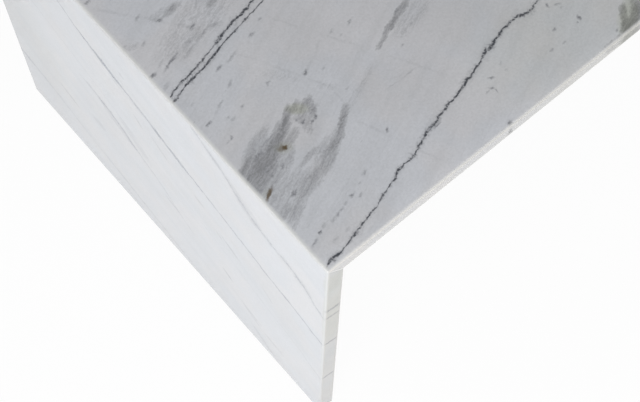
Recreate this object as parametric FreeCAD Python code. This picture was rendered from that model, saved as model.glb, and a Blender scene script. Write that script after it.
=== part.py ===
import FreeCAD, Part
import math
import os

# A waterfall coffee table in marble: a top slab and two end slabs, mitred at 45 degrees and bonded, with
# steel angle brackets in the inner corners, flat bars let into the underside of the top, and foot pads.
# Millimetres. X runs along the table, Y from its front to its back, Z up from the floor. The origin is on
# the floor, under the middle of the top. The right end is modelled and the left end is its mirror image.

V = FreeCAD.Vector

# Driving sizes
table_length = 1200.0
table_depth = 600.0
table_height = 460.0
slab_thickness = 20.0
outer_arris = 2.5
inner_arris = 1.2
foot_chamfer = 0.8
overrun = 10.0
match_tolerance = 0.01
corner_angle = 90.0
full_turn = 360.0

# Mitre bond: the epoxy between two slabs, and the bead of it left along the inner corner
bond_thickness = 0.8
bead_leg = 3.0
bead_throat = 1.4
bead_end_gap = 8.0

# Foot pads
pad_thickness = 3.0
pad_width = 15.0
pad_length = 60.0
pad_inset = 30.0

# Angle brackets, in line with the outer bars: pressed steel, with a gusset across the bend and a hole in
# each leg
bracket_leg = 60.0
bracket_width = 40.0
bracket_sheet = 4.0
bracket_bend = 4.0
bracket_corner = 8.0
bracket_hole = 3.4
hole_reach = 42.0
gusset_reach = 26.0
gusset_radius = 6.5
gusset_hollow = 3.0

# Hexagon-head screws, 6 mm
shank_radius = 3.0
shank_length = 14.0
head_flats = 10.0
head_height = 4.0
head_sides = 6

# Washers under the screw heads
washer_radius = 6.0
washer_bore = 3.2
washer_thickness = 1.6

# Brass inserts glued into blind holes in the slabs
insert_radius = 4.75
insert_length = 12.0
insert_bore = 3.05
insert_bore_depth = 10.5
insert_clearance = 0.1
insert_end_gap = 0.5

# Flat bars set on edge in the underside of the top, in slots cut by a disc blade and filled with resin
bar_thickness = 4.0
bar_height = 8.0
bar_inset = 110.0
bar_end_gap = 5.0
slot_clearance = 1.0
slot_bracket_gap = 20.0
blade_radius = 110.0

# Places worked out from the sizes above
half_length = table_length / 2
half_depth = table_depth / 2
inner_half = half_length - slab_thickness
underside = table_height - slab_thickness
bar_spread = half_depth - bar_inset
pad_spread = half_depth - pad_inset - pad_length / 2
mitre_shift = bond_thickness / 2 * math.sqrt(2)
THREE_PLACES = {"front": -1, "middle": 0, "rear": 1}
TWO_PLACES = {"front": -1, "rear": 1}
SIDES = (-1, 1)


def line(start, end):
    """A straight edge between two points."""
    return Part.LineSegment(start, end).toShape()


def arc(start, middle, end):
    """A round edge through three points."""
    return Part.Arc(start, middle, end).toShape()


def run_of(points):
    """Straight edges through points, in order."""
    return [line(start, end) for start, end in zip(points, points[1:])]


def across_depth(edges, width, centre=0.0):
    """A solid whose outline lies in the X-Z plane, as wide along Y as given, about a centre."""
    face = Part.Face(Part.Wire(edges))
    face.translate(V(0, centre - width / 2, 0))
    return face.extrude(V(0, width, 0))


def prism(corners):
    """A prism right across the depth and past it, through corners given as (x, z)."""
    points = [V(x, 0, z) for x, z in corners]
    return across_depth(run_of(points + points[:1]), table_depth + 2 * overrun)


def turned(edges):
    """A full turn about the Z axis of an outline in the X-Z plane."""
    return Part.Face(Part.Wire(edges)).revolve(V(0, 0, 0), V(0, 0, 1), full_turn)


def edges_at(shape, x=None, y=None, z=None):
    """The edges of a shape that lie wholly at the places given."""
    chosen = []
    for edge in shape.Edges:
        box = edge.BoundBox
        spans = ((x, box.XMin, box.XMax), (y, box.YMin, box.YMax), (z, box.ZMin, box.ZMax))
        misses = [abs(low - place) + abs(high - place) for place, low, high in spans if place is not None]
        if max(misses) < match_tolerance:
            chosen.append(edge)
    return chosen


def mirrored(shape):
    """The same piece at the left end of the table."""
    return shape.mirror(V(0, 0, 0), V(1, 0, 0))


# Stone
def table_shell():
    """All the stone in one piece: a top and two ends, with each arris eased and the foot chamfered."""
    rise = table_height - pad_thickness
    block = Part.makeBox(table_length, table_depth, rise, V(-half_length, -half_depth, pad_thickness))
    room_height = rise - slab_thickness + overrun
    room_corner = V(-inner_half, -half_depth - overrun, pad_thickness - overrun)
    room = Part.makeBox(2 * inner_half, table_depth + 2 * overrun, room_height, room_corner)
    shell = block.cut(room)
    outer = []
    inner = []
    for side in SIDES:
        outer += edges_at(shell, x=side * half_length, z=table_height)
        outer += edges_at(shell, y=side * half_depth, z=table_height)
        inner += edges_at(shell, y=side * half_depth, z=underside)
        for end in SIDES:
            outer += edges_at(shell, x=end * half_length, y=side * half_depth)
            inner += edges_at(shell, x=end * inner_half, y=side * half_depth)
    shell = shell.makeFillet(outer_arris, outer)
    shell = shell.makeFillet(inner_arris, inner)
    return shell.makeChamfer(foot_chamfer, edges_at(shell, z=pad_thickness))


def mitre_line(shift):
    """The low and the high end, as (x, z), of a line along the right mitre, moved outwards by a shift."""
    low = (inner_half - overrun + shift, underside - overrun)
    high = (half_length + overrun + shift, table_height + overrun)
    return low, high


def top_zone():
    """The room between the two mitres, where the stone belongs to the top."""
    low, high = mitre_line(-mitre_shift)
    return prism([low, high, (-high[0], high[1]), (-low[0], low[1])])


def end_zone():
    """The room outside the right mitre, where the stone belongs to the end slab."""
    low, high = mitre_line(mitre_shift)
    return prism([low, high, (high[0], 0), (low[0], 0)])


def bond_zone():
    """The thin room along the right mitre that the epoxy fills."""
    low_in, high_in = mitre_line(-mitre_shift)
    low_out, high_out = mitre_line(mitre_shift)
    return prism([low_in, high_in, high_out, low_out])


def corner_bead():
    """The bead of epoxy along the right inner corner, hollow on its open side."""
    throat = bead_throat / math.sqrt(2)
    corner = V(inner_half, 0, underside)
    on_top = V(inner_half - bead_leg, 0, underside)
    on_end = V(inner_half, 0, underside - bead_leg)
    hollow = V(inner_half - throat, 0, underside - throat)
    outline = [line(corner, on_top), arc(on_top, hollow, on_end), line(on_end, corner)]
    return across_depth(outline, table_depth - 2 * bead_end_gap)


# Bars in the underside of the top
def slot_form(place):
    """The room of one slot: level along its floor, with the run-out of a round blade at each end."""
    depth = bar_height + slot_clearance
    sweep = math.acos((blade_radius - depth) / blade_radius)
    mouth = inner_half - bracket_leg - slot_bracket_gap
    floor_end = mouth - blade_radius * math.sin(sweep)
    hub = underside + depth - blade_radius
    half_way = V(floor_end + blade_radius * math.sin(sweep / 2), 0, hub + blade_radius * math.cos(sweep / 2))
    right_floor = V(floor_end, 0, underside + depth)
    right_mouth = V(mouth, 0, underside)
    left_floor, left_way, left_mouth = [V(-p.x, 0, p.z) for p in (right_floor, half_way, right_mouth)]
    outline = [line(left_mouth, right_mouth), arc(right_mouth, half_way, right_floor)]
    outline += [line(right_floor, left_floor), arc(left_floor, left_way, left_mouth)]
    return across_depth(outline, bar_thickness + 2 * slot_clearance, place), floor_end


def flat_bar(place, floor_end):
    """One bar on edge in its slot, with its lower edge level with the underside."""
    reach = floor_end - bar_end_gap
    corner = V(-reach, place - bar_thickness / 2, underside)
    return Part.makeBox(2 * reach, bar_thickness, bar_height, corner)


# Brackets
def gusset_bar(radius, crown, start):
    """A bar across the bend from leg to leg, from a depth to its round crown, measured from the corner."""
    span = 2 * bracket_leg
    shoulder = crown - radius
    bar = Part.makeCylinder(radius, span, V(-span / 2, 0, -shoulder), V(1, 0, 0))
    bar = bar.fuse(Part.makeBox(span, 2 * radius, shoulder - start, V(-span / 2, -radius, -shoulder)))
    bar.rotate(V(0, 0, 0), V(0, 1, 0), corner_angle / 2)
    bar.translate(V(inner_half, 0, underside))
    return bar


def leg_block(size, corner_x, corner_z, radius):
    """A square block into the inner corner from a point, with its bend rounded."""
    low = V(corner_x - size, -bracket_width / 2, corner_z - size)
    block = Part.makeBox(size, bracket_width, size, low)
    return block.makeFillet(radius, edges_at(block, x=corner_x, z=corner_z))


def angle_bracket(place):
    """One bracket in the right inner corner, at a place along the depth."""
    outside = leg_block(bracket_leg, inner_half, underside, bracket_bend + bracket_sheet)
    inside = leg_block(bracket_leg, inner_half - bracket_sheet, underside - bracket_sheet, bracket_bend)
    bracket = outside.cut(inside)
    crown = (gusset_reach + bracket_sheet) / math.sqrt(2)
    wall = gusset_radius - gusset_hollow
    bracket = bracket.fuse(gusset_bar(gusset_radius, crown, 0).common(outside))
    bracket = bracket.cut(gusset_bar(gusset_hollow, crown - wall, -overrun)).removeSplitter()
    tips = []
    for side in SIDES:
        tips += edges_at(bracket, x=inner_half - bracket_leg, y=side * bracket_width / 2)
        tips += edges_at(bracket, y=side * bracket_width / 2, z=underside - bracket_leg)
    bracket = bracket.makeFillet(bracket_corner, tips)
    for point, inwards in fixings(0):
        bracket = bracket.cut(Part.makeCylinder(bracket_hole, 2 * overrun, point - inwards * overrun, inwards))
    bracket.translate(V(0, place, 0))
    return bracket


def fixings(place):
    """The two fixing points of one bracket at the right end: each a point on a slab and the way into it."""
    on_top = (V(inner_half - hole_reach, place, underside), V(0, 0, 1))
    on_end = (V(inner_half, place, underside - hole_reach), V(1, 0, 0))
    return on_top, on_end


def at_fixings(shape):
    """Copies of a shape that is drawn on the Z axis, one at each fixing point of the right end."""
    copies = []
    for step in TWO_PLACES.values():
        for point, inwards in fixings(step * bar_spread):
            copy = shape.copy()
            copy.Placement = FreeCAD.Placement(point, FreeCAD.Rotation(V(0, 0, 1), inwards))
            copies.append(copy)
    return Part.makeCompound(copies)


# Fasteners, drawn on the Z axis with the face of the slab at zero and the stone above it
def screw():
    """A screw with a hexagon head on its washer and its shank into the insert."""
    seat = -bracket_sheet - washer_thickness
    shank = Part.makeCylinder(shank_radius, shank_length, V(0, 0, seat))
    return shank.fuse(hexagon_head(seat))


def hexagon_head(seat):
    """The six-sided head, outwards from its seat."""
    reach = head_flats / math.sqrt(3)
    turns = [index * 2 * math.pi / head_sides for index in range(head_sides + 1)]
    corners = [V(reach * math.cos(turn), reach * math.sin(turn), seat) for turn in turns]
    return Part.Face(Part.Wire(run_of(corners))).extrude(V(0, 0, -head_height))


def washer():
    """A plain washer on the bracket, under a head."""
    seat = V(0, 0, -bracket_sheet - washer_thickness)
    ring = Part.makeCylinder(washer_radius, washer_thickness, seat)
    return ring.cut(Part.makeCylinder(washer_bore, washer_thickness, seat))


def insert():
    """A brass sleeve with a blind bore."""
    sleeve = Part.makeCylinder(insert_radius, insert_length)
    return sleeve.cut(Part.makeCylinder(insert_bore, insert_bore_depth))


def insert_hole():
    """The blind hole for one insert, from below the face of the slab."""
    depth = insert_length + insert_end_gap
    return Part.makeCylinder(insert_radius + insert_clearance, overrun + depth, V(0, 0, -overrun))


# Foot pads
def foot_pad(place):
    """A square-cut strip in the middle of the foot of the right end slab."""
    low = V(half_length - slab_thickness / 2 - pad_width / 2, place - pad_length / 2, 0)
    return Part.makeBox(pad_width, pad_length, pad_thickness, low)


def all_pieces():
    """Every piece of the table, by name."""
    pieces = {}
    shell = table_shell()
    holes = at_fixings(insert_hole())
    top = shell.common(top_zone()).cut(holes).cut(mirrored(holes))
    right = {}
    right["end_panel"] = shell.common(end_zone()).cut(holes)
    right["mitre_bond"] = shell.common(bond_zone()).fuse(corner_bead())
    right["bracket_screws"] = at_fixings(screw())
    right["bracket_washers"] = at_fixings(washer())
    right["screw_inserts"] = at_fixings(insert())
    for name, step in THREE_PLACES.items():
        slot, floor_end = slot_form(step * bar_spread)
        bar = flat_bar(step * bar_spread, floor_end)
        top = top.cut(slot)
        pieces["reinforcing_bar_" + name] = bar
        pieces["bar_resin_" + name] = slot.cut(bar)
        right["foot_pad_" + name] = foot_pad(step * pad_spread)
    for name, step in TWO_PLACES.items():
        right["bracket_" + name] = angle_bracket(step * bar_spread)
    pieces["top_slab"] = top
    for name, shape in right.items():
        pieces["right_" + name] = shape
        pieces["left_" + name] = mirrored(shape)
    return pieces


os.makedirs("parts", exist_ok=True)
for piece_name, piece in all_pieces().items():
    piece.exportStep(os.path.join("parts", piece_name + ".step"))
    print(piece_name, len(piece.Solids), "valid", piece.isValid(), "volume", round(piece.Volume, 1))
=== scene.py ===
"""A waterfall coffee table in veined white marble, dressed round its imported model.

Metres, in the model's own frame: X along the table, Y from its front to its back, Z up from the floor.
The top and the two end slabs are stone, mitred and bonded. Steel brackets with screws and washers hold
the inner corners, flat bars lie in resin under the top, and felt pads stand on the floor.
"""

import logging
import math
import random
from collections.abc import Callable
from dataclasses import dataclass, field, replace
from enum import Enum, IntEnum

import bmesh
import bpy
from mathutils import Matrix, Vector


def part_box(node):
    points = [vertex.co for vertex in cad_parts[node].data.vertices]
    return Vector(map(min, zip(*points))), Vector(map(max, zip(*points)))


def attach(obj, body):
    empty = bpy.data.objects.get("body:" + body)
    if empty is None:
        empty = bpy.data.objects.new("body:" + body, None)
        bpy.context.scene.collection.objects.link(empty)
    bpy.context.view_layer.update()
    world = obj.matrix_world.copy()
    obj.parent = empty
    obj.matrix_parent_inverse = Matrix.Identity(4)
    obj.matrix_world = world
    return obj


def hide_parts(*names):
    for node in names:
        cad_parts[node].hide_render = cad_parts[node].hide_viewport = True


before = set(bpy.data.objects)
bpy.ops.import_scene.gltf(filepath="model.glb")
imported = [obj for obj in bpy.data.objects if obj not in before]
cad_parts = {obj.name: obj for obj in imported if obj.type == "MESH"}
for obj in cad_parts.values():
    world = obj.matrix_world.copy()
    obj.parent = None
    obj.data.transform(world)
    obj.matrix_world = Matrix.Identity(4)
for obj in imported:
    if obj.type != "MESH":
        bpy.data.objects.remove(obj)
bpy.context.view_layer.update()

log = logging.getLogger("marble_table")

MM = 0.001
SIDES = 48
UP = Vector((0.0, 0.0, 1.0))
WHITE = (1.0, 1.0, 1.0, 1.0)
Value = object
Socket = bpy.types.NodeSocket
Material = bpy.types.Material
Pair = tuple[float, float]
Triple = tuple[float, float, float]
Route = tuple[Pair, ...]
Colour = tuple[float, float, float, float]
Measure = float | Callable[[float], float]


class End(Enum):
    """The two ends of the table, each with the sign of its X."""

    LEFT = -1
    RIGHT = 1

    @property
    def word(self) -> str:
        """The word that names of pieces at this end start with."""
        return self.name.lower()


class Place(Enum):
    """The places across the depth, as names of pieces say them."""

    FRONT = "front"
    MIDDLE = "middle"
    REAR = "rear"


class Draw(IntEnum):
    """What is added to a marble's seed for each of its noises."""

    CLOUD = 0
    WAVE = 1
    FRAY = 2
    SPREAD = 3
    PATCH = 4
    CRUMBS = 7
    FINE = 10
    BEADS = 11
    COARSE = 12


class Tree:
    """A node tree that grows by calls, most of which give back the socket that they put out."""

    def __init__(self, tree: bpy.types.NodeTree) -> None:
        """Takes the node tree of a material, a world or a group, to grow it."""
        self.tree = tree

    def put(self, value: Value, socket: Socket) -> None:
        """Gives an input a value, or links a socket to it.

        Args:
            value: A number, a tuple or an output socket.
            socket: The input that takes it.
        """
        if isinstance(value, Socket):
            self.tree.links.new(value, socket)
        else:
            socket.default_value = value

    def node(self, kind: str, values: dict | None = None, **settings: Value) -> bpy.types.Node:
        """Adds a node.

        Args:
            kind: Blender's name for the type of node.
            values: What each input takes, by its name or its place.
            settings: The node's own settings.

        Returns:
            The new node.
        """
        made = self.tree.nodes.new(kind)
        for name, setting in settings.items():
            setattr(made, name, setting)
        for key, value in (values or {}).items():
            self.put(value, made.inputs[key])
        return made

    def math(self, operation: str, *values: Value, clamp: bool = False) -> Socket:
        """Works out one sum on numbers.

        Args:
            operation: The sum, as the Math node calls it.
            values: One to three numbers or sockets.
            clamp: Whether the result is kept from 0 to 1.

        Returns:
            The result.
        """
        made = self.node("ShaderNodeMath", dict(enumerate(values)), operation=operation, use_clamp=clamp)
        return made.outputs[0]

    def plus(self, first: Value, second: Value) -> Socket:
        """The sum of two numbers."""
        return self.math("ADD", first, second)

    def minus(self, first: Value, second: Value) -> Socket:
        """The first number less the second."""
        return self.math("SUBTRACT", first, second)

    def times(self, first: Value, second: Value) -> Socket:
        """The product of two numbers."""
        return self.math("MULTIPLY", first, second)

    def over(self, first: Value, second: Value) -> Socket:
        """The first number divided by the second."""
        return self.math("DIVIDE", first, second)

    def times_plus(self, first: Value, second: Value, added: Value) -> Socket:
        """The product of two numbers, plus a third."""
        return self.math("MULTIPLY_ADD", first, second, added)

    def vector(self, operation: str, *values: Value) -> Socket:
        """Works out one sum on vectors.

        Args:
            operation: The sum, as the Vector Math node calls it.
            values: One or two vectors, and for SCALE a vector and a number.

        Returns:
            The resulting vector, or the number of a DOT_PRODUCT.
        """
        made = self.node("ShaderNodeVectorMath", operation=operation)
        if operation == "SCALE":
            self.put(values[0], made.inputs[0])
            self.put(values[1], made.inputs["Scale"])
        else:
            for socket, value in zip(made.inputs, values):
                self.put(value, socket)
        return made.outputs["Value" if operation == "DOT_PRODUCT" else "Vector"]

    def band(self, value: Value, low: Value, high: Value, to_low: Value = 0.0,
             to_high: Value = 1.0) -> Socket:
        """Maps a range smoothly on to another and stays at its ends.

        Args:
            value: The number to map.
            low: Where the range starts.
            high: Where it ends.
            to_low: The result at the start and before it.
            to_high: The result at the end and past it.

        Returns:
            The mapped number.
        """
        values = dict(enumerate((value, low, high, to_low, to_high)))
        made = self.node("ShaderNodeMapRange", values, interpolation_type="SMOOTHSTEP", clamp=False)
        return made.outputs[0]

    def noise(self, vector: Value, size: float, detail: float = 2.0, seed: float = 0.0,
              colour: bool = False) -> Socket:
        """Adds a noise whose lumps are about as large as given.

        Args:
            vector: The coordinates, in metres.
            size: The size of its largest lumps, in metres.
            detail: How many finer layers it has.
            seed: A different number gives a different noise.
            colour: Whether the three-part result is wanted instead of the single one.

        Returns:
            The noise, around 0.5.
        """
        if seed:
            vector = self.vector("ADD", vector, (seed * size * 7.3, seed * size * 3.1, seed * size * 5.7))
        values = {"Vector": vector, "Scale": 1.0 / size, "Detail": detail, "Roughness": 0.55}
        return self.node("ShaderNodeTexNoise", values).outputs["Color" if colour else "Fac"]

    def mix(self, share: Value, first: Value, second: Value, blend: str = "MIX") -> Socket:
        """Mixes two colours.

        Args:
            share: The share of the second, from 0 to 1.
            first: One colour.
            second: The other colour.
            blend: How the second goes on to the first.

        Returns:
            The mixed colour.
        """
        values = {0: share, 6: first, 7: second}
        return self.node("ShaderNodeMix", values, data_type="RGBA", blend_type=blend).outputs[2]

    def scaled(self, colour: Value, factor: Value) -> Socket:
        """A colour multiplied by a number."""
        return self.mix(1.0, colour, self.join(factor, factor, factor), "MULTIPLY")

    def parts(self, vector: Value) -> tuple[Socket, ...]:
        """The X, Y and Z of a vector, as three sockets."""
        return tuple(self.node("ShaderNodeSeparateXYZ", {0: vector}).outputs)

    def join(self, x: Value, y: Value, z: Value) -> Socket:
        """A vector from three numbers."""
        return self.node("ShaderNodeCombineXYZ", {0: x, 1: y, 2: z}).outputs[0]

    def turned(self, vector: Value, angles: Triple) -> Socket:
        """A vector turned by angles about X, Y and Z, in radians."""
        return self.node("ShaderNodeMapping", {"Vector": vector, "Rotation": angles}).outputs[0]

    def cover(self, first: Value, second: Value) -> Socket:
        """A mask that covers what either of two masks covers."""
        left = self.minus(1.0, second)
        return self.times_plus(first, left, second)


class Effect:
    """A shader node group that several finishes place, each with its own values."""

    KINDS = {1: "NodeSocketFloat", 3: "NodeSocketVector", 4: "NodeSocketColor"}

    def __init__(self, name: str, inputs: dict[str, Value], outputs: dict[str, int]) -> None:
        """Makes an empty group with its sockets.

        Args:
            name: The group's name.
            inputs: The default value of each input, by its name.
            outputs: The number of parts of each output, 1 for a number, 3 for a vector and 4 for a colour.
        """
        self.group = bpy.data.node_groups.new(name, "ShaderNodeTree")
        for label, value in inputs.items():
            kind = self.KINDS[len(value) if isinstance(value, tuple) else 1]
            made = self.group.interface.new_socket(name=label, in_out="INPUT", socket_type=kind)
            made.default_value = value
        for label, count in outputs.items():
            self.group.interface.new_socket(name=label, in_out="OUTPUT", socket_type=self.KINDS[count])
        self.tree = Tree(self.group)
        self.given = self.group.nodes.new("NodeGroupInput").outputs
        self.result = self.group.nodes.new("NodeGroupOutput").inputs

    def place(self, tree: Tree, **values: Value) -> bpy.types.bpy_prop_collection:
        """Places the group in a tree.

        Args:
            tree: The tree that takes it.
            values: What the inputs take, by their names with _ for a space.

        Returns:
            The outputs of the placed group.
        """
        made = tree.node("ShaderNodeGroup", node_tree=self.group)
        for name, value in values.items():
            tree.put(value, made.inputs[name.replace("_", " ").capitalize()])
        return made.outputs


def mark_effect() -> Effect:
    """An oval mark over the marks that are there already.

    Returns:
        The group, whose Mask is what the old marks and the new one cover together.
    """
    inputs = {"Spot": (0.0, 0.0, 1.0), "Along": (1.0, 0.0, 0.0), "Across": (0.0, 1.0, 0.0)}
    inputs |= {"Strength": 0.5, "Fall": 1.0, "Under": 0.0}
    effect = Effect("mark", inputs, {"Mask": 1})
    tree, given = effect.tree, effect.given
    along = tree.vector("DOT_PRODUCT", given["Spot"], given["Along"])
    across = tree.vector("DOT_PRODUCT", given["Spot"], given["Across"])
    reach = tree.times_plus(across, across, tree.times(along, along))
    reach = tree.math("POWER", reach, given["Fall"])
    mask = tree.band(reach, 0.05, 1.0, given["Strength"], 0.0)
    tree.put(tree.cover(given["Under"], mask), effect.result["Mask"])
    return effect


def vein_effect() -> Effect:
    """A thin beaded line, from the signed distance to its middle.

    Returns:
        The group, with the dark line in Mask and the grey beside it in Halo.
    """
    inputs = {"Gap": 0.0, "Half width": 0.0006, "Fine": 0.5, "Beads": 0.5, "Coarse": 0.5, "Broken": 0.5}
    effect = Effect("vein", inputs, {"Mask": 1, "Halo": 1})
    tree, given = effect.tree, effect.given
    reach = tree.times(given["Half width"], 4.0)
    wander = tree.times(tree.minus(given["Fine"], 0.5), reach)
    gap = tree.math("ABSOLUTE", tree.plus(given["Gap"], wander))
    width = tree.times(given["Half width"], tree.band(given["Coarse"], 0.4, 0.68, 0.8, 1.5))
    core = tree.band(gap, tree.times(width, 0.3), tree.times(width, 1.3), 1.0, 0.0)
    beads = tree.band(given["Beads"], 0.36, 0.56, tree.minus(1.0, given["Broken"]), 1.0)
    tree.put(tree.times(core, beads), effect.result["Mask"])
    halo = tree.band(gap, 0.0, tree.times(width, 5.0), 1.0, 0.0)
    crumbs = tree.band(given["Beads"], 0.5, 0.64, 0.4, 1.6)
    halo = tree.times(tree.times(halo, halo), crumbs)
    tree.put(halo, effect.result["Halo"])
    return effect


def streak_effect() -> Effect:
    """Streaks along X of the coordinates that it is given, as long and as wide as asked.

    Returns:
        The group, whose Mask is 1 in the middle of each streak.
    """
    inputs = {"Position": (0.0, 0.0, 0.0), "Length": 0.1, "Width": 0.005, "Seed": 0.0}
    inputs |= {"Low": 0.5, "High": 0.7, "Detail": 3.0}
    effect = Effect("streaks", inputs, {"Mask": 1})
    tree, given = effect.tree, effect.given
    x, y, z = tree.parts(given["Position"])
    across = [tree.over(part, given["Width"]) for part in (y, z)]
    moved = tree.plus(tree.over(x, given["Length"]), given["Seed"])
    drawn = tree.join(moved, *across)
    values = {"Vector": drawn, "Scale": 1.0, "Detail": given["Detail"], "Roughness": 0.6}
    noise = tree.node("ShaderNodeTexNoise", values).outputs["Fac"]
    tree.put(tree.band(noise, given["Low"], given["High"]), effect.result["Mask"])
    return effect


def arris_effect() -> Effect:
    """The strips beside the edges of a block.

    Returns:
        The group, whose Mask rises from 0 at the reach to 1 on an edge.
    """
    inputs = {"Position": (0.0, 0.0, 0.0), "Centre": (0.0, 0.0, 0.0), "Half size": (1.0, 1.0, 1.0)}
    effect = Effect("arris", inputs | {"Reach": 0.004}, {"Mask": 1})
    tree, given = effect.tree, effect.given
    away = tree.vector("ABSOLUTE", tree.vector("SUBTRACT", given["Position"], given["Centre"]))
    x, y, z = tree.parts(tree.vector("SUBTRACT", away, given["Half size"]))
    pairs = [tree.math("MINIMUM", a, b) for a, b in ((x, y), (y, z), (x, z))]
    nearest = tree.math("MAXIMUM", pairs[0], tree.math("MAXIMUM", pairs[1], pairs[2]))
    low = tree.times(given["Reach"], -1.0)
    tree.put(tree.band(nearest, low, tree.times(low, 0.3)), effect.result["Mask"])
    return effect


def crystal_effect() -> Effect:
    """The grain of a crystalline stone: small lighter and darker crystals and a few pits.

    Returns:
        The group, with the crystals around 0 in Grain and the pits from 0 to 1 in Pits.
    """
    effect = Effect("crystals", {"Position": (0.0, 0.0, 0.0), "Size": 0.002}, {"Grain": 1, "Pits": 1})
    tree, given = effect.tree, effect.given
    scaled = tree.vector("SCALE", given["Position"], tree.over(1.0, given["Size"]))
    cells = tree.node("ShaderNodeTexVoronoi", {"Vector": scaled, "Scale": 1.0}, feature="F1")
    tone = tree.parts(cells.outputs["Color"])[0]
    soft = tree.noise(scaled, 1.6, 3.0)
    both = tree.plus(tree.times(tree.minus(tone, 0.5), 0.5), tree.minus(soft, 0.5))
    tree.put(both, effect.result["Grain"])
    sparse = tree.band(tree.noise(scaled, 2.2, 2.0, 5.0), 0.68, 0.74)
    tree.put(sparse, effect.result["Pits"])
    return effect


def lay_effect() -> Effect:
    """The lay that rolling, sawing or brushing leaves: fine lines along X, with a few deeper ones.

    Returns:
        The group, with the height of the lines in Height and the deeper ones in Scratch.
    """
    inputs = {"Position": (0.0, 0.0, 0.0), "Length": 0.03, "Width": 0.0004}
    effect = Effect("lay", inputs, {"Height": 1, "Scratch": 1})
    tree, given = effect.tree, effect.given
    x, y, z = tree.parts(given["Position"])
    across = [tree.over(part, given["Width"]) for part in (y, z)]
    drawn = tree.join(tree.over(x, given["Length"]), *across)
    tree.put(tree.noise(drawn, 1.0, 3.0), effect.result["Height"])
    tree.put(tree.band(tree.noise(drawn, 2.5, 2.0, 4.0), 0.62, 0.7), effect.result["Scratch"])
    return effect


@dataclass(frozen=True)
class Effects:
    """The shared node groups, each built once."""

    mark: Effect = field(default_factory=mark_effect)
    vein: Effect = field(default_factory=vein_effect)
    streak: Effect = field(default_factory=streak_effect)
    arris: Effect = field(default_factory=arris_effect)
    crystal: Effect = field(default_factory=crystal_effect)
    lay: Effect = field(default_factory=lay_effect)


def empty_tree(owner: Material | bpy.types.World) -> Tree:
    """Clears the nodes of a material or a world, to build new ones.

    Args:
        owner: The material or the world.

    Returns:
        Its empty tree.
    """
    owner.use_nodes = True
    owner.node_tree.nodes.clear()
    return Tree(owner.node_tree)


def start_material(name: str) -> tuple[Material, Tree, Socket]:
    """Makes a material with nothing but its coordinates.

    Args:
        name: The material's name.

    Returns:
        The material, its tree, and the coordinates of the table in metres.
    """
    material = bpy.data.materials.new(name)
    tree = empty_tree(material)
    return material, tree, tree.node("ShaderNodeTexCoord").outputs["Object"]


def close_material(tree: Tree, values: dict[str, Value], height: Value, depth: float) -> None:
    """Ends a material in its shader.

    Args:
        tree: The material's tree.
        values: What the shader's inputs take.
        height: The height of the surface's relief.
        depth: How far a height of 1 stands up, in metres.
    """
    shader = tree.node("ShaderNodeBsdfPrincipled", values)
    bump = tree.node("ShaderNodeBump", {"Height": height, "Distance": depth, "Strength": 1.0})
    tree.put(bump.outputs[0], shader.inputs["Normal"])
    tree.put(shader.outputs[0], tree.node("ShaderNodeOutputMaterial").inputs["Surface"])


@dataclass(frozen=True)
class Streaks:
    """Streaks of one kind.

    Attributes:
        length: How long they are, in millimetres.
        width: How wide they are, in millimetres.
        low: The level of their noise at which they start.
        high: The level at which they are full.
        seed: What is added to the seed of the finish.
        detail: How many finer layers they have.
    """

    length: float
    width: float
    low: float
    high: float
    seed: float = 0.0
    detail: float = 3.0

    def draw(self, effects: Effects, tree: Tree, position: Value, seed: float) -> Socket:
        """Draws the streaks along X of a position.

        Args:
            effects: The shared node groups.
            tree: The material's tree.
            position: The coordinates.
            seed: The seed of the finish.

        Returns:
            Their mask.
        """
        return effects.streak.place(
            tree, position=position, length=self.length * MM, width=self.width * MM,
            seed=seed + self.seed, low=self.low, high=self.high, detail=self.detail)["Mask"]


@dataclass(frozen=True)
class Vein:
    """A vein that runs a long way over a slab.

    Attributes:
        route: Points (along, across) on the slab's face, in millimetres.
        tones: How dark it is, as points (along, tone) from the route's first to its last. It is as dark as it
            gets at 1, and wider above that.
        half_width: Half the width of its core, in millimetres.
        broken: How faint it gets between its beads, from 0 for an even line to 1.
        halo: How grey the stone beside it is.
    """

    route: Route
    tones: Route
    half_width: float
    broken: float
    halo: float


@dataclass(frozen=True)
class Mark:
    """An oval fleck, dash or smudge on a slab, with a soft edge.

    Attributes:
        start: One end (along, across) on the slab's face, in millimetres.
        end: Its other end.
        half_width: Half its width, in millimetres.
        strength: How dark it is, from 0 to 1.
    """

    start: Pair
    end: Pair
    half_width: float
    strength: float

    def axes(self) -> tuple[Triple, Triple]:
        """The oval's own axes.

        Returns:
            Two vectors. Their products with a spot (along, across, 1) in metres are the spot's place along
            the oval and across it, as shares of the oval's half length and half width.
        """
        first, last = Vector(self.start) * MM, Vector(self.end) * MM
        centre = (first + last) / 2
        way = (last - first).normalized()
        long = (last - first).length / 2 + self.half_width * MM
        wide = self.half_width * MM
        side = Vector((-way.y, way.x))
        along = (way.x / long, way.y / long, -way.dot(centre) / long)
        across = (side.x / wide, side.y / wide, -side.dot(centre) / wide)
        return along, across


def marks(*rows: tuple[float, ...]) -> tuple[Mark, ...]:
    """Marks from rows of six numbers: one end, the other end, half the width and the strength."""
    return tuple(Mark(row[0:2], row[2:4], row[4], row[5]) for row in rows)


class Cut(Enum):
    """The slabs of the table. Each is seen as a face with its depth behind it."""

    TOP = "top_slab"
    LEFT = "left_end_panel"
    RIGHT = "right_end_panel"

    def face(self, tree: Tree, position: Value) -> tuple[Socket, Socket, Socket]:
        """Where a point is on the slab's face.

        Args:
            tree: The material's tree.
            position: The point in the table's frame.

        Returns:
            How far the point is along the face, across it and behind it, in metres.
        """
        x, y, z = tree.parts(position)
        low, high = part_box(self.value)
        if self is Cut.TOP:
            return x, y, tree.minus(high.z, z)
        if self is Cut.LEFT:
            return y, z, tree.minus(x, low.x)
        return tree.times(y, -1.0), z, tree.minus(high.x, x)


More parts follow.
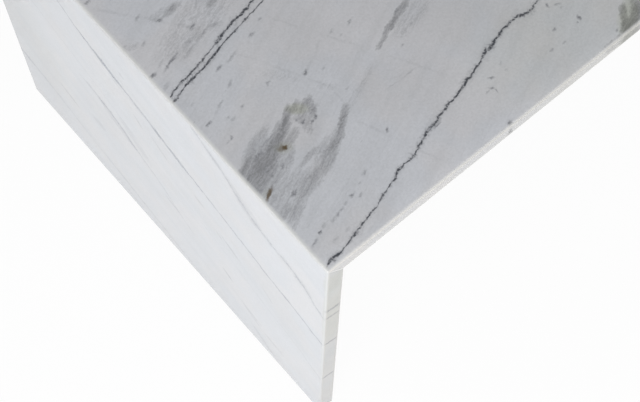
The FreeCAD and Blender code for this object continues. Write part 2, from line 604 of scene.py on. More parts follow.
@dataclass(frozen=True)
class Marble:
    """A veined marble, polished outside and honed on the hidden side of a slab. Sizes are in millimetres.

    Attributes:
        name: The finish's name.
        light: The colour of the clean stone.
        shade: The colour of its clouds and soft streaks.
        grey: The colour of flecks and dashes.
        mist: The colour of smudges.
        dark: The colour of the sharp veins.
        rust: The colour of iron stains.
        green: The colour of green marks.
        arris: The colour of the rounded edges: partly their worn stone and partly a painted highlight.
        edge_face_light: What the colour is multiplied by on the long edge faces: painted light where above 1,
            painted shade where below 1.
        honed: The colour of the powder on the honed side.
        cool: What the colour is multiplied by in its cooler patches.
        warm: What it is multiplied by in its warmer patches.
        edge_face_light_reach: How far that painted light and shade of the long edge faces reaches into their
            arrises.
        arris_reach: How far the rounded edges reach into the faces.
        rim: How much the polished face is lightened towards the long edges, as painted light, from 0 to 1.
        rim_band: Where that starts and ends, as distances from the edge.
        turn: The direction of the bedding on the face, in degrees.
        lean: How far the bedding moves across per metre behind the face.
        clouds: How strong the clouds are, from 0 to 1.
        cloud_size: How large they are.
        patch_size: How large the patches of fine streaks are.
        soft_streaks: How strong the wide soft streaks are.
        broad: How wide the soft streaks are.
        fine_streaks: How strong the thin streaks are.
        dashes: How strong the short scattered dashes are.
        grain: How strong the crystals are.
        crystals: How large they are.
        crumbs: How large the crumbs in smudges and flecks are.
        wave: The size of the bends in veins and marks, and how far they shift them.
        fray: The same for the frayed edges of marks.
        spread: The same for the fibres of smudges.
        veins: The sharp veins.
        smudges: Marks that are filled with fibres.
        flecks: Marks with a plain tone.
        stains: Marks of iron.
        tints: Green marks.
        seed: A different number gives other clouds and streaks.
    """

    name: str
    light: Colour
    shade: Colour
    grey: Colour = (0.16, 0.165, 0.18, 1.0)
    mist: Colour = (0.2, 0.203, 0.213, 1.0)
    dark: Colour = (0.02, 0.024, 0.034, 1.0)
    rust: Colour = (0.075, 0.048, 0.017, 1.0)
    green: Colour = (0.80, 0.82, 0.68, 1.0)
    arris: Colour = (0.64, 0.64, 0.63, 1.0)
    edge_face_light: Colour = WHITE
    honed: Colour = (0.6, 0.6, 0.59, 1.0)
    cool: Colour = (0.985, 0.995, 1.01, 1.0)
    warm: Colour = (1.012, 1.0, 0.995, 1.0)
    edge_face_light_reach: float = 1.6
    arris_reach: float = 4.2
    rim: float = 0.0
    rim_band: Pair = (18.0, 4.0)
    turn: float = 22.0
    lean: float = 0.3
    clouds: float = 0.5
    cloud_size: float = 110.0
    patch_size: float = 70.0
    soft_streaks: float = 0.3
    broad: float = 13.0
    fine_streaks: float = 0.05
    dashes: float = 0.3
    grain: float = 0.14
    crystals: float = 1.7
    crumbs: float = 2.2
    wave: Pair = (18.0, 3.2)
    fray: Pair = (3.5, 4.5)
    spread: Pair = (9.0, 7.0)
    veins: tuple[Vein, ...] = ()
    smudges: tuple[Mark, ...] = ()
    flecks: tuple[Mark, ...] = ()
    stains: tuple[Mark, ...] = ()
    tints: tuple[Mark, ...] = ()
    seed: float = 0.0


class Stonework:
    """The material of one slab in the making.

    Attributes:
        FINE: The thin streaks of the stone.
        DASH: Its short dashes.
        WIDE: The wide fibres of smudges.
        THIN: Their thin fibres.
        SAW: The length and width of the saw's lines on the honed side, in millimetres.
        RELIEF: How far the surface's relief stands up, in millimetres.
    """

    FINE = Streaks(70.0, 1.9, 0.5, 0.76, 3.0)
    DASH = Streaks(11.0, 2.2, 0.66, 0.76, 9.0)
    WIDE = Streaks(30.0, 4.0, 0.3, 0.66, 5.0)
    THIN = Streaks(12.0, 1.4, 0.35, 0.65, 6.0)
    SAW = (120.0, 1.3)
    RELIEF = 0.06

    def __init__(self, marble: Marble, effects: Effects, cut: Cut) -> None:
        """Starts the material with the coordinates that its parts share.

        Args:
            marble: The finish.
            effects: The shared node groups.
            cut: The slab.
        """
        self.marble, self.effects, self.cut = marble, effects, cut
        self.material, self.tree, self.position = start_material(f"{marble.name}_{cut.name.lower()}")
        along, across, self.behind = cut.face(self.tree, self.position)
        across = self.tree.times_plus(self.behind, marble.lean, across)
        self.flat = self.tree.join(along, across, 1.0)
        wave = self.jitter(self.position, marble.wave, Draw.WAVE)
        self.warped = self.tree.vector("ADD", self.flat, wave)
        self.frayed = self.tree.vector("ADD", self.warped, self.jitter(self.position, marble.fray, Draw.FRAY))
        point = self.tree.join(along, across, self.behind)
        point = self.tree.vector("ADD", point, self.tree.vector("SCALE", wave, 1.6))
        self.bedded = self.tree.turned(point, (0.0, 0.0, -math.radians(marble.turn)))

    def noise(self, size: float, detail: float, draw: Draw) -> Socket:
        """A noise of the stone, with lumps of a size in millimetres."""
        return self.tree.noise(self.position, size * MM, detail, self.marble.seed + draw)

    def jitter(self, position: Value, bends: Pair, draw: Draw) -> Socket:
        """A shift in the plane of the face.

        Args:
            position: The coordinates that it bends.
            bends: The size of its bends and how far they reach, in millimetres.
            draw: Which of the marble's noises it is.

        Returns:
            The shift, in metres.
        """
        noise = self.tree.noise(position, bends[0] * MM, 2.0, self.marble.seed + draw, True)
        middle = self.tree.vector("SUBTRACT", noise, (0.5, 0.5, 0.5))
        return self.tree.vector("MULTIPLY", middle, (bends[1] * MM, bends[1] * MM, 0.0))

    def streaks(self, kind: Streaks, position: Value) -> Socket:
        """The mask of one kind of streaks."""
        return kind.draw(self.effects, self.tree, position, self.marble.seed)

    def build(self) -> Material:
        """Lays the stone's colours one on another and ends the material.

        Returns:
            The material.
        """
        marble, tree = self.marble, self.tree
        crystals = self.effects.crystal.place(tree, position=self.position, size=marble.crystals * MM)
        colour = self.body()
        crumbs = self.noise(marble.crumbs, 3.0, Draw.CRUMBS)
        colour = tree.mix(self.smudge(crumbs, self.mask(marble.smudges)), colour, marble.mist)
        colour = tree.mix(self.mask(marble.tints), colour, marble.green, "MULTIPLY")
        fleck = tree.times(self.mask(marble.flecks, 0.5), tree.band(crumbs, 0.3, 0.62, 0.6, 1.15))
        colour = tree.mix(fleck, colour, marble.grey)
        sharp, halo = self.vein_masks()
        colour = tree.mix(halo, colour, marble.grey)
        colour = tree.mix(sharp, colour, marble.dark)
        colour = tree.mix(self.mask(marble.stains), colour, marble.rust)
        colour = tree.scaled(colour, tree.times_plus(crystals["Grain"], marble.grain, 1.0))
        self.finish(colour, sharp, crystals["Pits"])
        return self.material

    def body(self) -> Socket:
        """The colour between the veins: clouds, soft streaks, thin streaks in patches and short dashes.

        Returns:
            The colour.
        """
        marble, tree = self.marble, self.tree
        cloud = tree.band(self.noise(marble.cloud_size, 3.0, Draw.CLOUD), 0.35, 0.7)
        patch = self.noise(marble.patch_size, 2.0, Draw.PATCH)
        soft = self.streaks(Streaks(200.0, marble.broad, 0.42, 0.72, detail=1.0), self.bedded)
        fine = self.streaks(self.FINE, self.bedded)
        dash = self.streaks(self.DASH, self.bedded)
        shade = tree.times_plus(soft, marble.soft_streaks, tree.times(cloud, marble.clouds))
        tint = tree.mix(tree.band(patch, 0.4, 0.62), marble.cool, marble.warm)
        plain = tree.mix(tree.math("MINIMUM", shade, 1.0), marble.light, marble.shade)
        colour = tree.mix(1.0, plain, tint, "MULTIPLY")
        patchy = tree.band(patch, 0.44, 0.6, marble.fine_streaks * 1.6, marble.fine_streaks * 0.1)
        colour = tree.mix(tree.times(fine, patchy), colour, marble.grey)
        patchy = tree.band(patch, 0.44, 0.56, marble.dashes, marble.dashes * 0.25)
        return tree.mix(tree.times(dash, patchy), colour, marble.grey)

    def smudge(self, crumbs: Value, cover: Value) -> Socket:
        """The mask of the smudges: fibres and crumbs that thin out towards the edges of their marks.

        Args:
            crumbs: The noise of the crumbs.
            cover: The mask of the marks.

        Returns:
            The mask.
        """
        tree = self.tree
        spread = tree.vector("ADD", self.bedded, self.jitter(self.bedded, self.marble.spread, Draw.SPREAD))
        wide = self.streaks(self.WIDE, spread)
        thin = self.streaks(self.THIN, spread)
        speckle = tree.band(crumbs, 0.32, 0.68, -0.33, -0.15)
        fibres = tree.times_plus(wide, 0.22, tree.times_plus(thin, 0.22, speckle))
        thinned = tree.times_plus(cover, 1.08, fibres)
        return tree.times(tree.math("MAXIMUM", thinned, 0.0), tree.band(cover, 0.0, 0.15))

    def mask(self, marks: tuple[Mark, ...], fall: float = 1.0) -> Value:
        """The mask that several marks cover together.

        Args:
            marks: The marks.
            fall: 1 for marks with a flat middle, and 0.5 for marks that are pointed like a bell.

        Returns:
            The mask, or 0 where there are no marks.
        """
        covered: Value = 0.0
        for mark in marks:
            along, across = mark.axes()
            covered = self.effects.mark.place(
                self.tree, spot=self.frayed, along=along, across=across, strength=mark.strength, fall=fall,
                under=covered)["Mask"]
        return covered

    def vein_masks(self) -> tuple[Value, Value]:
        """Draws the veins, each as a line that runs along its route.

        Returns:
            The mask of the sharp veins and the mask of the grey beside them.
        """
        tree = self.tree
        along = tree.parts(self.flat)[0]
        across = tree.parts(self.warped)[1]
        noises = {"fine": self.noise(7.0, 3.0, Draw.FINE), "beads": self.noise(2.6, 2.0, Draw.BEADS),
                  "coarse": self.noise(15.0, 2.0, Draw.COARSE)}
        sharp: Value = 0.0
        grey: Value = 0.0
        for vein in self.marble.veins:
            first, last = vein.route[0][0], vein.route[-1][0]
            share = tree.node("ShaderNodeMapRange", {0: along, 1: first * MM, 2: last * MM}).outputs[0]
            gap = tree.minus(across, self.curve(share, vein.route, MM))
            inside = tree.times(tree.band(share, 0.0, 0.003), tree.band(share, 0.997, 1.0, 1.0, 0.0))
            tone = tree.times(self.curve(share, vein.tones), inside)
            wide = tree.times_plus(tone, vein.half_width * 0.75 * MM, vein.half_width * 0.25 * MM)
            tone = tree.math("MINIMUM", tone, 1.0)
            placed = self.effects.vein.place(tree, gap=gap, half_width=wide, broken=vein.broken, **noises)
            sharp = tree.cover(sharp, tree.times(placed["Mask"], tone))
            grey = tree.cover(grey, tree.times(placed["Halo"], tree.times(tone, vein.halo)))
        return sharp, tree.math("MINIMUM", grey, 1.0)

    def curve(self, share: Value, points: Route, unit: float = 1.0) -> Socket:
        """A value that runs through points, such as the middle of a vein across the face.

        Args:
            share: How far along the points the place is, from 0 to 1.
            points: The points (along, value), in order.
            unit: What the values are multiplied by.

        Returns:
            The value at the place.
        """
        low = min(value for _, value in points)
        rise = max(max(value for _, value in points) - low, 0.001)
        first, last = points[0][0], points[-1][0]
        made = self.tree.node("ShaderNodeFloatCurve", {"Value": share})
        shown = made.mapping.curves[0].points
        places = [((along - first) / (last - first), (value - low) / rise) for along, value in points]
        shown[0].location = places[0]
        shown[1].location = places[-1]
        for place in places[1:-1]:
            shown.new(*place)
        for point in shown:
            point.handle_type = "VECTOR"
        made.mapping.update()
        return self.tree.times_plus(made.outputs[0], rise * unit, low * unit)

    def finish(self, colour: Value, sharp: Value, pits: Value) -> None:
        """Polishes the shown faces, hones the hidden one, lightens each arris and ends the material.

        Args:
            colour: The colour of the stone.
            sharp: The mask of the sharp veins.
            pits: The mask of the pits.
        """
        marble, tree, position = self.marble, self.tree, self.position
        low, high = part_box(self.cut.value)
        thickness = min(high[axis] - low[axis] for axis in range(3))
        arris = self.effects.arris.place(
            tree, position=position, centre=tuple((low + high) / 2), half_size=tuple((high - low) / 2),
            reach=marble.arris_reach * MM)["Mask"]
        out = tree.math("ABSOLUTE", tree.parts(position)[1])
        start, end = (high.y - away * MM for away in marble.rim_band)
        # Painted light: the colour is lightened towards the long edges by rim.
        colour = tree.scaled(colour, tree.band(out, start, end, 1.0, 1.0 + marble.rim))
        # Painted highlight: the arris colour goes on to the rounded edges, partly their worn stone and partly
        # the highlight that they catch.
        wear_and_highlight = tree.band(tree.noise(position, 7 * MM, 3.0, 8.0), 0.3, 0.7, 0.6, 0.78)
        colour = tree.mix(tree.times(arris, wear_and_highlight), colour, marble.arris)
        # Painted light and shade: the long edge faces are multiplied by sawn, lighter on the top and darker
        # on the ends, for how the light falls on them.
        reach = marble.edge_face_light_reach * MM
        edge_face_light = tree.band(out, high.y - reach, high.y - 0.2 * reach)
        colour = tree.mix(edge_face_light, colour, marble.edge_face_light, "MULTIPLY")
        honed = tree.band(self.behind, thickness - 1.2 * MM, thickness - 0.3 * MM)
        saw = self.effects.lay.place(tree, position=position, length=self.SAW[0] * MM, width=self.SAW[1] * MM)
        colour = tree.mix(tree.times(honed, 0.3), colour, marble.honed)
        film = tree.noise(position, 60 * MM, 4.0, 12.0)
        polished = tree.times_plus(film, 0.1, tree.times_plus(sharp, 0.12, 0.12))
        roughness = tree.node("ShaderNodeMix", {0: honed, 2: polished, 3: 0.52}, data_type="FLOAT").outputs[0]
        relief = tree.times_plus(pits, -0.5, tree.times(sharp, -0.6))
        relief = tree.times_plus(tree.times(saw["Height"], honed), 0.8, relief)
        values = {"Base Color": colour, "Roughness": roughness, "IOR": 1.5, "Specular IOR Level": 0.5}
        close_material(tree, values, relief, self.RELIEF * MM)


# Where the veins and marks lie, in millimetres on the slab's face: along it and across it. A route is the
# line of a vein and its tones say how dark it is on the way. A row of marks holds six numbers: one end,
# the other end, half the width and the strength.
MAIN_VEIN: Route = (
    (-600, -297), (-590, -292), (-578, -291), (-567, -289), (-556, -287), (-541, -283), (-524, -280),
    (-511, -275), (-491, -268), (-483, -265), (-459, -262), (-446, -258), (-431, -251), (-405, -246),
    (-371, -238), (-338, -228), (-331, -225), (-314, -221), (-296, -216), (-283, -215), (-263, -219),
    (-249, -216), (-205, -203), (-160, -197), (-90, -176), (-30, -168), (60, -140), (130, -131), (240, -98),
    (330, -88), (420, -62), (520, -48), (600, -24))
MAIN_TONES: Route = (
    (-600, 0.6), (-595, 0.6), (-591, 1.4), (-586, 3.2), (-581, 2.1), (-577, 0.8), (-565, 0.8), (-556, 0.9),
    (-551, 1.5), (-546, 1.5), (-541, 1.2), (-536, 0.9), (-528, 1.3), (-520, 0.7), (-512, 0.8), (-498, 0.8),
    (-491, 1.9), (-484, 1.8), (-480, 1.2), (-474, 1.4), (-458, 1.5), (-452, 1.2), (-448, 1.9), (-442, 1.2),
    (-429, 1.6), (-420, 1.5), (-414, 1.9), (-404, 1.8), (-396, 1.0), (-385, 1.2), (-368, 1.4), (-350, 1.2),
    (-342, 1.0), (-336, 1.8), (-331, 2.6), (-323, 2.3), (-317, 1.2), (-310, 1.2), (-300, 1.3), (-288, 2.0),
    (-278, 1.5), (-270, 2.2), (-262, 1.8), (-250, 1.3), (-100, 0.9), (100, 0.7), (300, 0.9), (600, 0.85))
LEFT_TWIN: Route = (
    (-597, -66), (-587, -62), (-572, -59), (-558, -56), (-538, -50), (-527, -47), (-513, -43), (-501, -38),
    (-483, -36), (-465, -32), (-440, -25), (-395, -8), (-350, -2), (-280, 18), (-190, 36), (-100, 66),
    (20, 90))
LEFT_TONES: Route = (
    (-597, 1.1), (-585, 0.9), (-565, 0.9), (-545, 0.9), (-532, 0.7), (-527, 0.3), (-522, 1.1), (-518, 1.6),
    (-512, 1.0), (-506, 1.1), (-496, 1.8), (-480, 1.6), (-465, 2.0), (-430, 1.4), (-400, 1.0), (-200, 0.8),
    (20, 0.5))
RIGHT_TWIN: Route = (
    (-599, -71), (-585, -68), (-573, -64), (-559, -62), (-542, -58), (-523, -52), (-502, -48), (-484, -44),
    (-466, -40), (-457, -38), (-420, -28), (-372, -19), (-300, 4), (-220, 20), (-130, 48), (-40, 66),
    (70, 102), (190, 126), (330, 168), (460, 190), (600, 232))
RIGHT_TONES: Route = (
    (-599, 1.9), (-592, 1.8), (-585, 1.2), (-570, 1.2), (-550, 1.25), (-535, 1.1), (-515, 1.0), (-490, 0.9),
    (-470, 0.9), (-457, 1.0), (-300, 0.9), (-100, 0.5), (250, 0.8), (600, 0.9))
REAR_VEIN: Route = (
    (-520, 118), (-460, 131), (-410, 149), (-330, 164), (-250, 190), (-170, 205), (-60, 240), (40, 256),
    (120, 281), (200, 300))
FRONT_VEIN: Route = (
    (-60, -296), (20, -276), (90, -266), (170, -240), (260, -226), (350, -196), (450, -178), (540, -150),
    (600, -139))

SIDE_SMUDGE = marks(
    (-516, -145, -531, -158, 4.6, 0.6), (-525, -156, -547, -169, 6.4, 0.66),
    (-539, -163, -560, -172, 7.6, 0.5), (-552, -166, -578, -180, 12.0, 0.56),
    (-534, -153, -549, -161, 3.6, 0.42), (-568, -159, -586, -167, 4.0, 0.36),
    (-562, -174, -592, -190, 14.0, 0.6), (-578, -172, -606, -183, 12.5, 0.58),
    (-584, -190, -600, -199, 7.0, 0.55), (-545, -149, -588, -166, 8.0, 0.34),
    (-496, -154, -506, -172, 5.0, 0.5), (-492, -151, -506, -156, 4.2, 0.42),
    (-505, -147, -519, -153, 4.4, 0.5), (-498, -158, -516, -160, 12.0, 0.25),
    (-528, -171, -540, -175, 7.0, 0.4))
LONG_STREAK = marks(
    (-481, -188, -494, -197, 5.2, 0.55), (-492, -195, -512, -208, 7.2, 0.5),
    (-507, -204, -534, -220, 8.8, 0.45), (-529, -215, -561, -228, 7.6, 0.36),
    (-507, -197, -533, -209, 8.8, 0.28), (-537, -211, -569, -226, 9.0, 0.3),
    (-562, -225, -589, -239, 7.0, 0.3), (-576, -232, -598, -246, 8.4, 0.24))
BETWEEN_THEM = marks(
    (-553, -208, -599, -225, 16.0, 0.26), (-563, -189, -592, -204, 9.6, 0.42),
    (-580, -166, -597, -173, 5.0, 0.42), (-509, -160, -519, -178, 8.0, 0.32),
    (-538, -176, -564, -197, 8.0, 0.32), (-584, -226, -597, -233, 6.0, 0.36),
    (-587, -211, -597, -213, 5.0, 0.36), (-524, -197, -549, -202, 4.0, 0.38),
    (-523, -149, -546, -171, 2.2, 0.55), (-535, -161, -562, -183, 6.2, 0.4))
FAINT_PATCHES = marks(
    (-515, -95, -489, -131, 7.0, 0.12), (-479, -147, -468, -160, 6.0, 0.1), (-560, 15, -526, 15, 8.0, 0.2),
    (-598, 6, -584, 2, 6.0, 0.2))
FRONT_STRIP = marks(
    (-240, -298, -210, -298, 3.2, 0.34), (-216, -297, -178, -297, 5.0, 0.5))
CORNER_SMUDGE = marks(
    (-186, -273, -200, -288, 5.5, 0.64), (-197, -288, -208, -298, 7.0, 0.8),
    (-176, -284, -196, -298, 8.5, 0.75), (-150, -264, -182, -288, 11.0, 0.5))
HOOKED_STREAK = marks(
    (-410, -155, -388, -145, 4.0, 0.5), (-392, -145, -368, -138, 4.6, 0.68),
    (-373, -139, -346, -130, 4.8, 0.62), (-350, -131, -298, -115, 5.5, 0.38),
    (-385, -155, -330, -141, 13.0, 0.18), (-447, -174, -423, -163, 6.0, 0.1),
    (-480, -187, -443, -172, 7.0, 0.15), (-485, -189, -474, -182, 5.0, 0.4))
TWIN_HAZE = marks(
    (-575, -30, -455, 6, 30.0, 0.17), (-542, 11, -530, 15, 6.0, 0.3), (-535, 11, -523, 14, 5.0, 0.28),
    (-503, -7, -493, -5, 4.6, 0.4), (-554, -34, -542, -27, 5.0, 0.24), (-536, -29, -529, -27, 6.0, 0.22))

TWIN_FLECKS = marks(
    (-595, 73, -589, 73, 2.8, 0.7), (-569, 25, -561, 29, 2.2, 0.45), (-553, 11, -548, 10, 2.6, 0.75),
    (-581, -3, -576, 0, 2.0, 0.4), (-585, -40, -557, -29, 2.3, 0.9), (-599, -37, -589, -35, 2.8, 0.95),
    (-586, -34, -573, -26, 2.2, 0.25), (-597, -57, -586, -51, 3.3, 0.35), (-534, -18, -525, -14, 2.4, 0.7),
    (-533, -32, -520, -27, 2.8, 0.35), (-520, -26, -502, -31, 2.8, 0.3), (-562, -42, -545, -35, 2.8, 0.3),
    (-545, -71, -536, -70, 2.4, 0.7), (-534, -71, -512, -66, 2.1, 0.4), (-548, -93, -538, -88, 2.4, 0.4),
    (-567, -104, -559, -100, 2.4, 0.35), (-495, -62, -489, -61, 2.7, 0.65),
    (-476, -53, -472, -52, 2.2, 0.45))
MIDDLE_FLECKS = marks(
    (-482, -129, -477, -127, 3.0, 1.0), (-517, -115, -512, -113, 2.4, 0.45),
    (-413, -115, -403, -110, 2.3, 0.55), (-432, -110, -427, -108, 2.1, 0.4),
    (-427, -120, -423, -118, 2.1, 0.3), (-465, -137, -460, -135, 1.8, 0.35),
    (-462, -168, -458, -167, 2.1, 0.3), (-366, -134, -362, -132, 2.2, 0.6),
    (-388, -167, -385, -166, 2.1, 0.5), (-364, -154, -362, -153, 1.8, 0.5))
DOTTED_ROW = marks(
    (-511, -247, -504, -245, 2.4, 0.5), (-520, -252, -517, -251, 1.6, 0.3),
    (-528, -262, -523, -260, 2.2, 0.45), (-535, -257, -529, -255, 2.4, 0.7),
    (-544, -259, -540, -258, 1.8, 0.35), (-551, -261, -547, -260, 2.1, 0.45),
    (-558, -263, -552, -261, 2.2, 0.55), (-564, -264, -560, -263, 2.6, 0.45),
    (-574, -264, -570, -262, 2.1, 0.35), (-580, -266, -578, -265, 2.2, 1.0),
    (-594, -272, -584, -268, 2.4, 0.65), (-576, -281, -570, -279, 2.8, 0.3),
    (-560, -280, -557, -279, 2.8, 0.3))
FRONT_FLECKS = marks(
    (-349, -248, -343, -251, 2.3, 0.7), (-363, -259, -357, -258, 1.6, 0.4),
    (-355, -257, -352, -259, 2.4, 0.65), (-352, -260, -352, -265, 1.9, 0.5),
    (-329, -244, -326, -243, 1.8, 0.3), (-330, -253, -327, -252, 2.1, 0.25),
    (-370, -297, -365, -295, 3.2, 1.0), (-245, -224, -245, -228, 2.4, 0.7),
    (-239, -230, -233, -232, 2.1, 0.55), (-238, -237, -235, -236, 2.0, 0.3),
    (-261, -251, -258, -250, 2.3, 0.65), (-265, -268, -262, -267, 2.3, 0.5),
    (-281, -266, -277, -264, 2.3, 0.55), (-230, -255, -232, -259, 2.5, 1.0),
    (-237, -259, -236, -258, 1.7, 0.65))
SMUDGE_SPOTS = marks(
    (-574, -221, -568, -219, 2.8, 0.85), (-515, -168, -518, -169, 3.0, 1.0),
    (-518, -163, -520, -163, 2.6, 0.6), (-503, -170, -505, -174, 2.6, 0.85),
    (-507, -173, -511, -174, 2.4, 0.8), (-575, -186, -578, -187, 2.5, 0.9),
    (-569, -184, -571, -185, 2.3, 0.75), (-560, -190, -564, -193, 2.8, 0.65),
    (-567, -167, -570, -169, 2.8, 0.65), (-591, -197, -596, -199, 2.8, 0.45),
    (-573, -180, -574, -182, 2.3, 0.6), (-574, -169, -576, -170, 2.4, 0.6),
    (-575, -192, -577, -193, 2.2, 0.5), (-593, -180, -596, -183, 2.3, 0.55))
VEIN_KNOTS = marks(
    (-587, -292, -582, -291, 3.6, 0.95), (-414, -249, -428, -253, 3.6, 0.5),
    (-212, -291, -214, -292, 2.4, 0.7))
SMUDGE_HAIRS = marks(
    (-523, -148, -541, -160, 1.7, 0.38), (-547, -160, -564, -164, 2.0, 0.36),
    (-565, -165, -582, -171, 2.1, 0.32), (-546, -168, -568, -183, 1.7, 0.28),
    (-568, -178, -584, -188, 1.8, 0.26), (-486, -190, -504, -202, 1.9, 0.22),
    (-515, -202, -531, -209, 1.9, 0.20), (-548, -153, -569, -160, 1.7, 0.20))
LEFT_FLECKS = marks(
    (-463, -228, -460, -225, 2.4, 0.8), (-589, -113, -583, -111, 2.9, 0.85),
    (-580, -138, -578, -136, 2.5, 0.75), (-586, -139, -582, -138, 2.2, 0.35),
    (-551, -118, -549, -117, 2.4, 0.5), (-569, -118, -566, -118, 2.1, 0.35),
    (-567, -123, -562, -121, 2.4, 0.35), (-583, -113, -557, -99, 2.1, 0.16),
    (-586, -86, -583, -85, 2.2, 0.3))
FAINT_LINES = marks(
    (-415, -252, -428, -255, 1.5, 0.7), (-434, -193, -414, -194, 1.5, 0.25),
    (-415, -194, -392, -194, 1.5, 0.30), (-521, -62, -504, -92, 2.2, 0.1),
    (-506, -88, -480, -139, 2.6, 0.11), (-484, -132, -470, -157, 2.4, 0.12),
    (-470, -47, -443, -100, 2.2, 0.1), (-445, -96, -411, -153, 2.4, 0.1),
    (-413, -150, -370, -233, 2.4, 0.1), (-480, -192, -458, -247, 2.4, 0.13),
    (-461, -243, -440, -293, 2.4, 0.12), (-595, 67, -566, 29, 3.2, 0.15), (-568, 32, -543, -1, 3.2, 0.17),
    (-544, 0, -523, -28, 3.4, 0.18), (-526, -27, -502, -34, 3.0, 0.13), (-438, -105, -465, -122, 2.4, 0.11),
    (-463, -121, -480, -128, 2.4, 0.12), (-391, -195, -431, -185, 2.2, 0.1),
    (-471, -154, -475, -187, 2.8, 0.1), (-498, -170, -535, -194, 13.0, 0.07),
    (-558, -238, -588, -255, 8.0, 0.06))

TOP_STAINS = marks(
    (-546, -178, -549, -179, 3.2, 1.0), (-549, -176, -552, -177, 3.8, 0.6),
    (-582, -202, -597, -210, 2.8, 0.9))
TOP_TINTS = marks(
    (-517, -149, -506, -158, 8.0, 0.75), (-552, -175, -545, -179, 8.0, 0.5),
    (-600, -207, -588, -202, 5.0, 0.3), (-176, -276, -210, -300, 13.0, 0.8),
    (-320, -255, -200, -270, 70.0, 0.16), (-300, -240, 60, -100, 150.0, 0.1))

TOP_MARBLE = Marble(
    name="marble_top",
    # The top's colours are written darker than the ends': partly its greyer stone, partly painted shade
    # because the top gets less light than the ends.
    light=(0.535, 0.542, 0.565, 1.0),
    shade=(0.455, 0.462, 0.480, 1.0),
    # Painted light: sawn lightens the top's long edge faces.
    edge_face_light=(1.085, 1.06, 1.01, 1.0),
    # rim paints light on the top's polished face towards its long edges.
    rim=0.065,
    veins=(
        Vein(MAIN_VEIN, MAIN_TONES, 1.0, 0.62, 0.48),
        Vein(LEFT_TWIN, LEFT_TONES, 1.1, 0.55, 0.45),
        Vein(RIGHT_TWIN, RIGHT_TONES, 1.0, 0.5, 0.4),
        Vein(REAR_VEIN, ((-520, 0.2), (-380, 0.7), (-100, 0.5), (200, 0.8)), 0.6, 0.8, 0.3),
        Vein(FRONT_VEIN, ((-60, 0.3), (120, 0.7), (380, 0.6), (600, 0.85)), 0.6, 0.7, 0.3),
    ),
    smudges=(
        SIDE_SMUDGE + LONG_STREAK + BETWEEN_THEM + FAINT_PATCHES + FRONT_STRIP + CORNER_SMUDGE
        + HOOKED_STREAK + TWIN_HAZE),
    flecks=(
        TWIN_FLECKS + MIDDLE_FLECKS + DOTTED_ROW + FRONT_FLECKS + SMUDGE_SPOTS + VEIN_KNOTS
        + SMUDGE_HAIRS + LEFT_FLECKS + FAINT_LINES),
    stains=TOP_STAINS,
    tints=TOP_TINTS,
)

END_VEIN: Route = (
    (-300, 251), (-288, 255), (-242, 271), (-211, 279), (-181, 290), (-151, 300), (-121, 311), (-75, 326),
    (-45, 337), (-16, 348), (14, 359), (45, 369), (75, 380), (103, 392), (123, 408), (160, 424), (220, 449))
END_TONES: Route = (
    (-300, 0.7), (-242, 0.65), (-150, 0.6), (-120, 0.55), (-100, 0.7), (-75, 0.9), (-35, 1.0), (-15, 0.8),
    (5, 0.9), (25, 0.7), (36, 1.3), (48, 1.7), (64, 1.2), (100, 0.75), (123, 0.6), (220, 0.4))
UPPER_VEIN: Route = (
    (-300, 330), (-286, 342), (-270, 359), (-249, 373), (-221, 378), (-200, 386), (-179, 398), (-160, 415),
    (-148, 428), (-120, 446), (-100, 458))
CROSS_VEIN: Route = (
    (-70, 140), (-40, 162), (-20, 184), (-3, 197), (17, 208), (40, 223), (62, 240), (82, 250), (102, 256),
    (130, 260))
LOWER_VEIN: Route = (
    (-60, 14), (0, 28), (50, 41), (73, 47), (105, 56), (139, 64), (171, 73), (201, 85), (232, 95),
    (258, 101), (300, 112))
LAST_VEIN: Route = (
    (-300, 128), (-283, 137), (-266, 149), (-250, 157), (-200, 172), (-140, 198), (-60, 226), (40, 262),
    (130, 300), (300, 366))

END_SMUDGES = marks(
    (96, 252, 30, 214, 12.0, 0.35), (52, 264, 4, 222, 13.0, 0.28), (-165, 50, -225, 4, 6.0, 0.3),
    (-118, 452, -150, 425, 8.0, 0.22), (-150, 430, -182, 398, 8.0, 0.2), (-160, 418, -200, 384, 16.0, 0.22),
    (-255, 372, -280, 352, 8.0, 0.15), (-156, 88, -191, 65, 5.0, 0.30), (-191, 65, -234, 57, 5.0, 0.26),
    (-119, 240, -131, 232, 3.0, 0.35), (-198, 224, -214, 207, 4.0, 0.25), (204, 150, 160, 134, 5.0, 0.5),
    (122, 163, 104, 158, 10.0, 0.35), (-16, 170, -46, 160, 4.0, 0.45), (-85, 279, -101, 271, 4.0, 0.45),
    (-123, 246, -168, 222, 4.0, 0.4), (-122, 138, -140, 126, 3.6, 0.55), (-150, 92, -192, 78, 4.0, 0.4),
    (15, 322, 1, 306, 4.0, 0.35), (-15, 312, -45, 290, 4.0, 0.35), (48, 360, 30, 352, 3.0, 0.35),
    (26, 395, 16, 392, 3.4, 0.4), (-301, 356, -303, 356, 5.0, 1.0), (-301, 335, -303, 335, 4.0, 0.9),
    (-301, 254, -303, 254, 4.0, 1.0), (-301, 134, -303, 134, 4.4, 0.9))
END_TINTS = marks(
    (-302, 450, -302, 405, 9.0, 0.35), (-301, 430, -301, 240, 7.0, 0.3), (300, 260, 220, 150, 110.0, 0.12))

